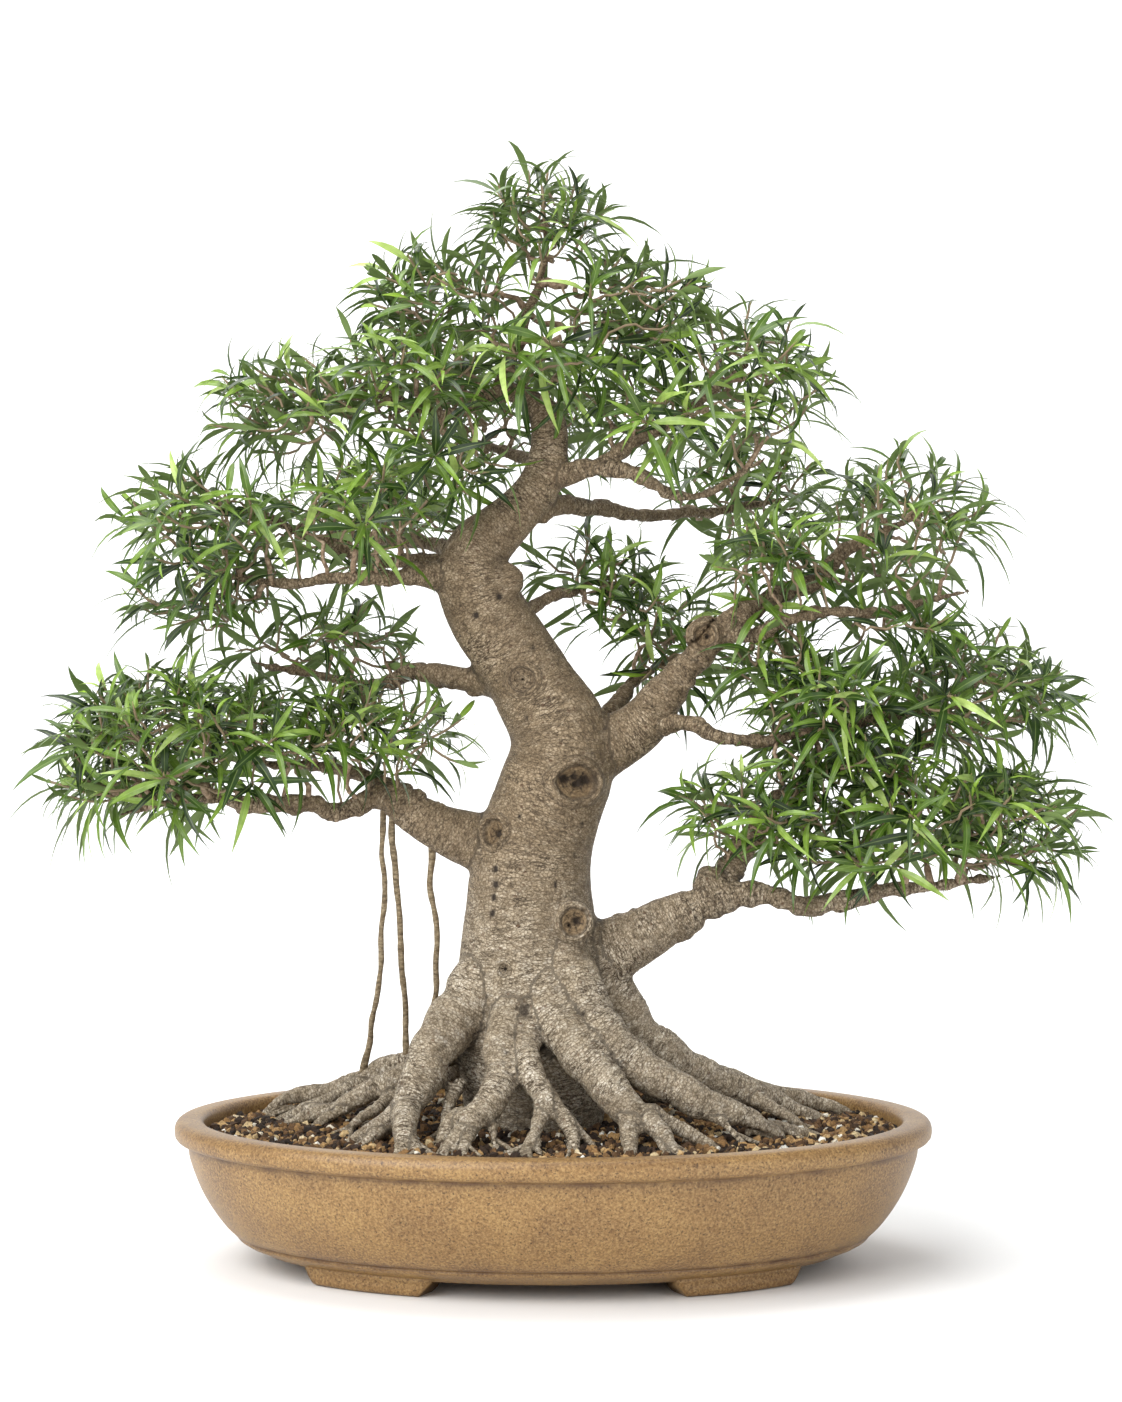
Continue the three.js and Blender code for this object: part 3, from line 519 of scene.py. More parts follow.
# The path of the trunk from the soil up, and of each root from the trunk out: rows of x, y, z and radius.
TRUNK_LINE = [
    (-12, 4, 66, 40), (-12, 3, 100, 46), (-12, 2, 125, 50), (-12, 1, 146, 51.5), (-13, 0, 170, 50),
    (-14, 0, 197, 47.5), (-15, -1, 222, 43.5), (-15, -2, 247, 39.5), (-12, -2, 271, 38), (-3, -2, 298, 36),
    (5, -1, 322, 35), (3, 1, 345, 31.5), (-9, 3, 367, 28.5), (-23, 4, 389, 26.5), (-36, 4, 408, 26.5),
    (-46, 3, 427, 25.5), (-51, 1, 446, 25), (-48, -1, 461, 22), (-34, -3, 475, 17.5), (-20, -3, 489, 15.4),
    (-8, -2, 506, 14), (-3, 0, 525, 12.6), (-3, 1, 542, 11.6), (-7, 2, 554, 10),
]
ROOT_LINES = [
    # front left
    [(-44, -16, 186, 20), (-64, -32, 160, 18.5), (-76, -44, 140, 17), (-86, -54, 124, 15.5),
     (-92, -62, 111, 13.5)],
    [(-90, -60, 113, 12), (-106, -67, 98, 9.5), (-120, -72, 91, 7.2), (-134, -76, 83, 4.6)],
    [(-104, -68, 97, 7), (-114, -79, 91, 6), (-123, -88, 83, 4)],
    [(-91, -62, 111, 11.5), (-91, -80, 100, 10), (-93, -96, 92, 8), (-96, -109, 83, 4.6)],
    [(-90, -84, 97, 7), (-84, -99, 90, 5.8), (-81, -110, 83, 3.6)],
    # centre left
    [(-22, -28, 176, 17), (-28, -48, 152, 14.5), (-34, -68, 126, 13), (-42, -82, 112, 12),
     (-52, -93, 102, 10.5)],
    [(-51, -92, 103, 9), (-61, -104, 93, 7), (-70, -116, 83, 4.2)],
    [(-51, -93, 101, 8), (-53, -107, 92, 6.2), (-55, -118, 83, 3.8)],
    [(-38, -80, 108, 6), (-36, -94, 95, 5), (-35, -105, 84, 3.6)],
    [(-56, -74, 104, 9), (-63, -84, 97, 9), (-67, -92, 90, 7)],
    # centre
    [(-12, -32, 176, 15), (-16, -54, 150, 12.5), (-12, -68, 134, 11), (-7, -82, 118, 10), (-5, -88, 109, 9)],
    [(-6, -87, 110, 8), (-11, -102, 99, 6.6), (-17, -116, 91, 5.4), (-21, -128, 83, 3.8)],
    [(-11, -104, 97, 5), (-8, -114, 90, 4.2), (-7, -124, 83, 3.2)],
    [(-2, -80, 118, 8.5), (6, -89, 106, 7.2), (11, -97, 97, 6.4), (14, -110, 83, 4.2)],
    [(4, -84, 110, 5.6), (17, -91, 98, 4.8), (30, -98, 83, 3.4)],
    # centre right
    [(-6, -26, 190, 20), (1, -44, 166, 17.5), (12, -60, 146, 16), (29, -72, 128, 15), (42, -80, 118, 14),
     (52, -87, 110, 12.5)],
    [(50, -88, 108, 10), (48, -99, 99, 8.6), (46, -108, 92, 7), (46, -117, 83, 4.6)],
    [(53, -87, 109, 10.5), (64, -96, 101, 9), (72, -105, 93, 7.2), (80, -115, 83, 4.4)],
    [(66, -98, 97, 5.8), (67, -109, 90, 4.6), (69, -118, 83, 3.2)],
    [(56, -84, 110, 8), (72, -85, 102, 7), (88, -88, 94, 5.8), (103, -92, 83, 4)],
    # right front
    [(4, -22, 210, 20), (13, -34, 184, 19), (24, -43, 160, 18), (44, -52, 139, 16.5), (67, -57, 124, 15),
     (88, -59, 114, 13.5),
     (106, -59, 106, 11.5), (128, -57, 97, 9.5)],
    [(124, -57, 99, 8), (137, -56, 91, 6.4), (149, -54, 83, 4)],
    [(124, -55, 98, 7.6), (142, -48, 94, 6.2), (158, -42, 89, 5), (175, -36, 83, 3.4)],
    [(94, -61, 107, 6.4), (110, -72, 96, 5), (123, -80, 84, 3.4)],
    # right
    [(16, -6, 206, 20), (33, -8, 180, 17.5), (53, -4, 152, 16), (82, 0, 128, 14), (107, 8, 115, 12.5),
     (129, 14, 106, 11),
     (150, 18, 98, 9), (168, 21, 91, 6.4), (184, 24, 83, 3.8)],
    [(128, 12, 106, 7.6), (142, 0, 98, 6.4), (156, -8, 91, 4.8), (168, -14, 83, 3.2)],
    # right back
    [(12, 18, 174, 20), (38, 32, 142, 16), (74, 44, 120, 13), (107, 50, 112, 11), (127, 53, 104, 9.8),
     (153, 57, 100, 9.2),
     (172, 60, 95, 7.6), (192, 60, 88, 5.4), (204, 58, 82, 3.6)],
    [(108, 52, 110, 8), (128, 70, 101, 6.4), (146, 84, 92, 4.8), (158, 90, 83, 3.2)],
    # left
    [(-30, 12, 176, 20), (-56, 18, 152, 17), (-86, 24, 128, 13.5), (-113, 33, 115, 11.5),
     (-148, 42, 105, 9.8), (-170, 47, 100, 8.6),
     (-186, 50, 94, 6.8), (-198, 51, 84, 4.2)],
    [(-118, 33, 112, 7.8), (-145, 22, 103, 6.4), (-165, 14, 96, 5.2), (-184, 8, 84, 3.4)],
    # left front
    [(-34, -4, 170, 19), (-62, -4, 144, 16), (-88, -6, 124, 13.5), (-104, -8, 114, 11.5),
     (-120, -7, 107, 10), (-136, -4, 101, 8.4),
     (-156, 0, 94, 6.6), (-178, 4, 84, 3.8)],
    [(-126, -4, 104, 7), (-142, -10, 97, 5.6), (-160, -14, 84, 3.6)],
    [(-140, 0, 99, 6), (-164, 14, 95, 5), (-190, 27, 84, 3.2)],
    [(-98, -11, 114, 7.6), (-114, -24, 103, 6.4), (-126, -34, 94, 5), (-138, -43, 83, 3.4)],
    [(-90, -14, 114, 7), (-100, -34, 101, 5.6), (-110, -46, 92, 4.6), (-115, -56, 83, 3.2)],
    [(-58, -40, 124, 8), (-66, -52, 106, 6.5), (-70, -60, 92, 5), (-73, -66, 83, 3.6)],
    # back
    [(-28, 20, 160, 19), (-52, 48, 128, 14), (-76, 74, 108, 11), (-98, 96, 96, 8), (-116, 112, 83, 4)],
    [(-78, 74, 107, 8), (-104, 82, 96, 6.4), (-130, 88, 84, 3.8)],
    [(-12, 26, 164, 19), (-14, 58, 128, 14), (-12, 86, 108, 11), (-4, 108, 96, 8.4), (4, 126, 83, 4)],
    [(-12, 86, 107, 7.4), (-26, 108, 95, 5.6), (-35, 124, 83, 3.6)],
    [(6, 22, 164, 18), (30, 50, 130, 14), (52, 76, 110, 11), (70, 96, 97, 8.4), (86, 112, 83, 4)],
    [(54, 78, 108, 7.6), (50, 100, 96, 6), (46, 120, 83, 3.6)],
]


def unit(way):
    """The same direction with a length of 1."""
    return way / np.linalg.norm(way)


def frames_along(spots):
    """At each point of a path the ways across it, beside that and along it, without a twist."""
    along = np.gradient(spots, axis=0)
    along /= np.linalg.norm(along, axis=1)[:, None]
    across = np.cross(along[0], (0.3, 0.9, 0.31))
    frames = []
    for way in along:
        across = unit(across - way * across.dot(way))
        frames.append((across, np.cross(way, across), way))
    return frames


def tube(line, sides, per_span=6, wander=0.0, seed=0.0, swell=0.0):
    """A closed tube along rows of x, y, z and radius in mm, as points in metres and faces.
    wander bends it a little, and swell gives it small thickenings, as growth does."""
    path = smooth_path(line, per_span)
    spots, radii = path[:, :3].copy(), path[:, 3].copy()
    if wander or swell:
        for i, spot in enumerate(spots):
            reach = radii[i] / 8
            for axis in range(3):
                at = Vector(spot * 0.045) + Vector((seed, 7.3 * axis, 1.7))
                spots[i, axis] += wander * min(1, reach) * noise.noise(at)
            radii[i] *= 1 + swell * noise.noise(Vector(spot * 0.12) + Vector((seed + 31, 0, 0)))
    frames = frames_along(spots)
    turns = [2 * math.pi * k / sides for k in range(sides)]
    points = [(spot + radius * (math.cos(turn) * across + math.sin(turn) * beside)) * MM
              for spot, radius, (across, beside, _) in zip(spots, radii, frames) for turn in turns]
    points += [spots[0] * MM, (spots[-1] + frames[-1][2] * radii[-1] * 0.5) * MM]
    faces = ring_faces(len(spots), sides)
    base, tip, last = len(points) - 2, len(points) - 1, (len(spots) - 1) * sides
    for k in range(sides):
        faces.append((base, (k + 1) % sides, k))
        faces.append((tip, last + k, last + (k + 1) % sides))
    return points, faces


def bundle(parts):
    """Several tubes as one list of points and one of faces."""
    points, faces = [], []
    for more_points, more_faces in parts:
        first = len(points)
        points += list(more_points)
        faces += [tuple(first + i for i in face) for face in more_faces]
    return points, faces


def grown_together(name, parts, voxel, material):
    """Fuses overlapping tubes into one skin."""
    rough = mesh_object(name + "_rough", *bundle(parts), material)
    fuse = rough.modifiers.new("fuse", "REMESH")
    fuse.mode = "VOXEL"
    fuse.voxel_size = voxel * MM
    fuse.use_smooth_shade = True
    skin = bpy.data.meshes.new_from_object(rough.evaluated_get(bpy.context.evaluated_depsgraph_get()))
    bpy.data.objects.remove(rough)
    skin.name = name
    skin.shade_smooth()
    skin.materials.clear()
    skin.materials.append(material)
    piece = bpy.data.objects.new(name, skin)
    bpy.context.collection.objects.link(piece)
    return piece


class Skin:
    """A piece's points as an array in mm, with what smoothing and carving need."""

    def __init__(self, piece):
        self.mesh = piece.data
        count = len(self.mesh.vertices)
        flat = np.empty(count * 3, np.float32)
        self.mesh.vertices.foreach_get("co", flat)
        self.spots = flat.reshape(-1, 3).astype(float) / MM
        pairs = np.empty(len(self.mesh.edges) * 2, np.int32)
        self.mesh.edges.foreach_get("vertices", pairs)
        self.ends = pairs.reshape(-1, 2)
        self.degree = np.bincount(pairs, minlength=count)[:, None]

    def neighbours_mean(self, values):
        out = np.zeros_like(values)
        a, b = self.ends.T
        for axis in range(values.shape[1]):
            for here, there in ((a, b), (b, a)):
                out[:, axis] += np.bincount(here, values[there, axis], len(values))
        return out / self.degree

    def smooth(self, rounds, firmness):
        for _ in range(rounds):
            self.spots += firmness * (self.neighbours_mean(self.spots) - self.spots)

    def normals(self):
        self.write()
        flat = np.empty(len(self.spots) * 3, np.float32)
        self.mesh.vertices.foreach_get("normal", flat)
        return flat.reshape(-1, 3).astype(float)

    def hollow(self, rounds=3):
        """How far each point lies below its surroundings, in mm."""
        around = self.spots
        for _ in range(rounds):
            around = self.neighbours_mean(around)
        return ((around - self.spots) * self.normals()).sum(axis=1)

    def write(self):
        self.mesh.vertices.foreach_set("co", (self.spots * MM).astype(np.float32).ravel())
        self.mesh.update()


def field(spots, scale, seed, stretch=(1, 1, 1)):
    """Smooth noise from -1 to 1 whose lumps are about 1/scale mm across."""
    at = spots * (np.array(stretch) * scale)
    return np.array([noise.noise(Vector(p) + Vector((seed, seed * 0.7, 3.1))) for p in at])


def store_grain(piece, lines):
    """Stores where each point lies on its own tube: across it, and along it in Z. The bark's wrinkles run
    across whatever they are on, so its pattern follows this and not the object's axes."""
    centres, radii, frames, runs = [], [], [], []
    for number, line in enumerate(lines):
        path = smooth_path(line, 6)
        steps = np.linalg.norm(np.diff(path[:, :3], axis=0), axis=1)
        centres.append(path[:, :3])
        radii.append(path[:, 3])
        frames += frames_along(path[:, :3])
        runs.append(np.concatenate([[0], np.cumsum(steps)]) + 211.0 * number)
    centres, frames = np.vstack(centres), np.array(frames)
    radii, runs = np.concatenate(radii), np.concatenate(runs)
    spots = Skin(piece).spots
    out = np.empty_like(spots)
    for first in range(0, len(spots), 6000):
        some = spots[first : first + 6000]
        squares = (some**2).sum(1)[:, None] + (centres**2).sum(1)[None]
        away = np.sqrt(np.maximum(0, squares - 2 * some @ centres.T))
        best = (away - radii[None]).argmin(axis=1)
        local = np.einsum("nij,nj->ni", frames[best], some - centres[best])
        local[:, 2] += runs[best]
        out[first : first + 6000] = local
    store(piece, "grain", out * MM)


# Scars: X and Z on the front of the bark, half width and half height, height of the rolled rim and depth of
# the heart in mm, the dark cores in the heart as x, y and radius in parts of the half width, and how bare
# its wood still is.
SCARS = [
    (15.5, 311, 16.5, 13, 3.0, 2.8, [(-0.45, 0.22, 0.3), (0.4, 0.12, 0.36), (0.04, -0.14, 0.22),
                                     (-0.04, 0.36, 0.16)], 1),
    (-37.5, 279, 10, 10, 2.6, 2.4, [(0, 0, 0.36)], 0.8),
    (13.5, 223, 10.5, 11, 2.8, 2.0, [(0.15, 0.05, 0.32), (-0.3, -0.2, 0.14)], 0.9),
    (-20, 377, 10, 10, 1.1, 0.6, [(0, 0, 0.08)], 0),
    (60, 352, 7.5, 7, 1.5, 1.4, [(0, 0, 0.28)], 0.5),
    (98.5, 405, 8.5, 8.5, 1.9, 1.5, [(0.1, 0, 0.24)], 0.5),
    (-31, 193, 4, 4, 0.9, 1.2, [(0, 0, 0.4)], 0.2),
    (46, 190, 5, 6, 1.0, 1.2, [(0, 0.2, 0.35)], 0.2),
]
# Swellings under the scars and forks, each with its place and radius.
BOSSES = [((15, -20, 311), 19), ((-33, -17, 279), 16), ((12, -37, 222), 15), ((-20, -13, 378), 14),
          ((-30, -12, 441), 12)]
CREASES = [((-19, -47, 166), 7.0, 2.2), ((17, -40, 170), 9.0, 3.5)]  # place, radius and depth
# Small dark holes in the front of the bark: X, Z and radius.
PITS = [(-38, 256, 1.6), (-38, 246, 2.0), (-39, 238, 1.5), (-40, 228, 1.7), (15, 264, 1.2), (2, 246, 1.0),
        (20, 284, 1.2), (-33, 306, 1.2), (-12, 398, 1.1), (-50, 418, 1.2), (22, 202, 1.5), (-18, 352, 1.1),
        (-30, 330, 1.1), (-34, 430, 1.3), (26, 330, 1.2), (-22, 290, 1.0)]
PIT_DEPTH = 2.2


def scar_seat(skin_tree, scar):
    """Where a scar lies on the bark: its middle, the way it faces, and its axes across and up."""
    from_front = Vector((scar[0] * MM, -0.3, scar[1] * MM))
    middle = skin_tree.ray_cast(from_front, Vector((0, 1, 0)))[0]
    facing = Vector((0, 0, 0))
    for dx, dz in ((-6, 0), (6, 0), (0, 6), (0, -6), (0, 0)):
        hit = skin_tree.ray_cast(from_front + Vector((dx * MM, 0, dz * MM)), Vector((0, 1, 0)))
        facing += hit[1] if hit[0] else Vector((0, -1, 0))
    facing.normalize()
    across = facing.cross(Vector((0, 0, 1))).normalized() * -1
    return middle, facing, across, facing.cross(across)


def scar_patch(skin_tree, scar, number):
    """A finely made patch of bark, of rings laid on the skin, raised at the rim and sunk in the middle."""
    _, _, wide, high, rim, deep, cores, bare = scar
    middle, facing, across, up = scar_seat(skin_tree, scar)
    sides, shares = 64, [i / 20 for i in range(1, 32)]
    rows = {"points": [], "dark": [], "heart": [], "grain": []}

    def lay(share, turn):
        ragged = 1 + 0.09 * noise.noise(Vector((math.cos(turn), math.sin(turn), number * 3.3)) * 1.6)
        x, y = share * math.cos(turn) * ragged, share * math.sin(turn) * ragged
        flat = middle + (across * x * wide + up * y * high) * MM
        hit = skin_tree.ray_cast(flat + facing * 0.02, -facing, 0.06)[0]
        base = hit if hit else flat
        inner = max(0.0, 1 - (share / 0.84) ** 5)
        rough = noise.noise(Vector((x * 3, y * 3, number * 1.7)))
        check = max(0.0, math.cos(turn * 7 + 2.2 * rough + number) - 0.72) / 0.28 * hump(share, 0.5, 0.22)
        core = sum(math.exp(-(math.hypot(x - cx, y - cy * high / wide) / size) ** 2 * 1.6)
                   for cx, cy, size in cores)
        lift = 1.35 * rim * hump(share, 1.02, 0.19) * (1 + 0.24 * math.cos(turn * 11 + 3 * rough))
        lift += -deep * inner + inner * (0.35 * math.cos(share * 21 + rough) + 0.8 * rough)
        lift += -0.9 * check * inner - 4.2 * min(1, core) * min(1, wide / 9)
        lift += 0.5 * math.cos((share - 1) * 24 + rough) * hump(share, 1.3, 0.18) - max(0, share - 1.2) * 4.5
        rows["points"].append(base + facing * lift * MM)
        # Dark marks: rotten cores and splits, in their own dark colour with painted shade, painted shade in
        # the groove just inside the rolled rim and round its outer foot, and the faint growth rings of the
        # cut wood.
        ring = 0.6 * hump(share, 0.83, 0.07) + 0.3 * max(0.0, math.cos(share * 34 + 2 * rough)) * inner
        ring += 0.35 * hump(share, 1.27, 0.06)
        rows["dark"].append(min(0.95, core * 1.3 + 0.75 * check * inner + ring))
        rows["heart"].append(bare * min(1, inner * 1.4))
        rows["grain"].append((x * wide * MM, y * high * MM, share * wide * MM + number))

    lay(0, 0)
    for share in shares:
        for k in range(sides):
            lay(share, 2 * math.pi * k / sides)
    for key, value in (("points", middle - facing * 0.014), ("dark", 0), ("heart", 0), ("grain", (0, 0, 0))):
        rows[key].append(value)
    return rows, closed_faces(len(shares), sides)


def scarred(piece, skin, scars, first):
    """Sinks the skin inside each scar, so that only its patch shows there, and returns the patches."""
    mesh = piece.data
    skin_tree = BVHTree.FromPolygons([v.co for v in mesh.vertices], [p.vertices for p in mesh.polygons])
    made = [scar_patch(skin_tree, scar, first + i) for i, scar in enumerate(scars)]
    for scar in scars:
        middle, facing, across, up = (np.array(v) for v in scar_seat(skin_tree, scar))
        away = skin.spots - middle / MM
        share = np.hypot(away @ across / scar[2], away @ up / scar[3])
        near = np.abs(away @ facing) < 16
        drop = (scar[5] + 6) * np.clip((0.97 - share) / 0.12, 0, 1) * near
        skin.spots -= np.outer(drop, facing)
    skin.write()
    return made


# Smooth living bark gives the eye a dull grey-beige with no shine. It is clouded over about 33 mm and
# blotched over 9 mm, has flecks of 2.4 mm, and is creased across the wood every 3 mm where it has swollen.
bark, tree, shader, place = new_material("thin_smooth_fig_bark")
along_limb = add(tree, "ShaderNodeAttribute", {"attribute_name": "grain"}).outputs["Vector"]
flat_place = add(tree, "ShaderNodeMapping", feeds={0: along_limb, 3: (1, 1, 1.5)}).outputs[0]
line_place = add(tree, "ShaderNodeMapping", feeds={0: along_limb, 3: (1, 1, 4.5)}).outputs[0]
lines = add(tree, "ShaderNodeTexNoise",
            feeds={"Vector": line_place, "Scale": 75, "Detail": 4, "Roughness": 0.6, "Distortion": 0.4})
from_line = add(tree, "ShaderNodeMath", {"operation": "SUBTRACT"}, {0: lines.outputs["Fac"], 1: 0.5})
ridge = add(tree, "ShaderNodeMath", {"operation": "ABSOLUTE"}, {0: from_line.outputs[0]})
drift = add(tree, "ShaderNodeTexNoise", feeds={"Vector": place, "Scale": 30, "Detail": 5, "Roughness": 0.6})
patch = add(tree, "ShaderNodeTexNoise",
            feeds={"Vector": flat_place, "Scale": 110, "Detail": 5, "Roughness": 0.65})
grain = add(tree, "ShaderNodeTexNoise",
            feeds={"Vector": flat_place, "Scale": 420, "Detail": 4, "Roughness": 0.7})
wash = add(tree, "ShaderNodeValToRGB",
           {"stops": [(0.32, "#8b7d67"), (0.46, "#b3a58e"), (0.58, "#cbc0ac"), (0.7, "#e2dacb")]},
           {"Fac": drift.outputs["Fac"]})
film = add(tree, "ShaderNodeValToRGB",
           {"stops": [(0.34, "#8c7e68"), (0.46, "#b4a792"), (0.56, "#ccc2b0"), (0.68, "#e9e3d7")]},
           {"Fac": patch.outputs["Fac"]})
skin_colour = add(tree, "ShaderNodeMix", LAID_OVER, {0: 0.5, 6: wash.outputs[0], 7: film.outputs[0]})
fleck = add(tree, "ShaderNodeValToRGB", {"stops": [(0.34, "#67543a"), (0.45, "#cfc7b9"), (0.56, "#ffffff")]},
            {"Fac": grain.outputs["Fac"]})
wrinkle = add(tree, "ShaderNodeValToRGB",
              {"stops": [(0.0, "#493824"), (0.016, "#8f806a"), (0.04, "#ffffff")]},
              {"Fac": ridge.outputs[0]})
wrinkled = add(tree, "ShaderNodeMapRange", feeds={0: drift.outputs["Fac"], 1: 0.46, 2: 0.6, 3: 0.2, 4: 0.9})
creased = add(tree, "ShaderNodeMix", TINTED,
              {0: wrinkled.outputs[0], 6: skin_colour.outputs[2], 7: wrinkle.outputs[0]})
flecked = add(tree, "ShaderNodeMix", TINTED, {0: 0.62, 6: creased.outputs[2], 7: fleck.outputs[0]})
# Fine cracks in the bark's outer skin, two or three millimetres apart.
bent = add(tree, "ShaderNodeVectorMath", {"operation": "MULTIPLY_ADD"},
           {0: grain.outputs["Color"], 1: (0.0016, 0.0016, 0.0016), 2: along_limb})
bent_place = add(tree, "ShaderNodeMapping", feeds={0: bent.outputs[0], 3: (1, 1, 1.5)})
crack = add(tree, "ShaderNodeTexVoronoi", {"feature": "DISTANCE_TO_EDGE"},
            {"Vector": bent_place.outputs[0], "Scale": 370})
crack_line = add(tree, "ShaderNodeValToRGB",
                 {"stops": [(0.0, "#5f4d37"), (0.07, "#c9bfac"), (0.2, "#ffffff")]},
                 {"Fac": crack.outputs["Distance"]})
cracked = add(tree, "ShaderNodeMix", TINTED, {0: 0.66, 6: flecked.outputs[2], 7: crack_line.outputs[0]})
# Lenticels, the small corky dots that let the bark breathe, are darker or rusty, about 7 mm apart.
dots = add(tree, "ShaderNodeTexVoronoi", {"feature": "F1"},
           {"Vector": flat_place, "Scale": 150, "Randomness": 1})
dot = add(tree, "ShaderNodeValToRGB", {"stops": [(0.14, "#ffffff"), (0.26, "#000000")]},
          {"Fac": dots.outputs["Distance"]})
some = add(tree, "ShaderNodeValToRGB", {"stops": [(0.48, "#000000"), (0.58, "#e0e0e0")]},
           {"Fac": patch.outputs["Fac"]})
dot_amount = add(tree, "ShaderNodeMath", {"operation": "MULTIPLY"}, {0: dot.outputs[0], 1: some.outputs[0]})
dotted = add(tree, "ShaderNodeMix", LAID_OVER,
             {0: dot_amount.outputs[0], 6: cracked.outputs[2], 7: linear("#593a1d")})
# The bark is darkened and browned upwards from 0.14 m to 0.3 m: painted shade under the crown, and partly
# the browner bark that the upper wood has.
up_the_tree = add(tree, "ShaderNodeSeparateXYZ", feeds={0: place}).outputs[2]
high_up = add(tree, "ShaderNodeMapRange", {"interpolation_type": "SMOOTHSTEP"},
              {0: up_the_tree, 1: 0.14, 2: 0.3, 3: 0, 4: 0.9})
crown_shade_and_brown = add(tree, "ShaderNodeMix", TINTED,
              {0: high_up.outputs[0], 6: dotted.outputs[2], 7: linear("#c6b9a6")})
# Cut wood is bare and weathered in the heart of a scar. Painted shade darkens every hollow and pit of
# the bark, and the same value lays on a scar's dark marks: its rot and splits, and the groove by its rim.
heart = add(tree, "ShaderNodeAttribute", {"attribute_name": "heartwood"})
cut_wood = add(tree, "ShaderNodeValToRGB",
               {"stops": [(0.3, "#54422c"), (0.48, "#7d6648"), (0.66, "#a38b66")]},
               {"Fac": grain.outputs["Fac"]})
hearted = add(tree, "ShaderNodeMix", LAID_OVER,
              {0: heart.outputs["Fac"], 6: crown_shade_and_brown.outputs[2], 7: cut_wood.outputs[0]})
hollow = add(tree, "ShaderNodeAttribute", {"attribute_name": "hollow"})
shaded = add(tree, "ShaderNodeMix", LAID_OVER,
             {0: hollow.outputs["Fac"], 6: hearted.outputs[2], 7: linear("#2b2014")})
fine = add(tree, "ShaderNodeMath", {"operation": "MULTIPLY_ADD"},
           {0: grain.outputs["Fac"], 1: 0.5, 2: patch.outputs["Fac"]})
fold_dip = add(tree, "ShaderNodeMapRange", feeds={0: ridge.outputs[0], 1: 0, 2: 0.05, 3: 0, 4: 0.3})
lined = add(tree, "ShaderNodeMath", {"operation": "ADD"}, {0: fold_dip.outputs[0], 1: fine.outputs[0]})
edge_dip = add(tree, "ShaderNodeMapRange", feeds={0: crack.outputs["Distance"], 1: 0, 2: 0.14, 3: 0, 4: 0.22})
height = add(tree, "ShaderNodeMath", {"operation": "ADD"}, {0: lined.outputs[0], 1: edge_dip.outputs[0]})
relief = add(tree, "ShaderNodeBump", feeds={"Strength": 0.8, "Distance": 0.0018, "Height": height.outputs[0]})
feed(tree, shader, {"Base Color": shaded.outputs[2], "Roughness": 0.72, "Normal": relief.outputs[0]})

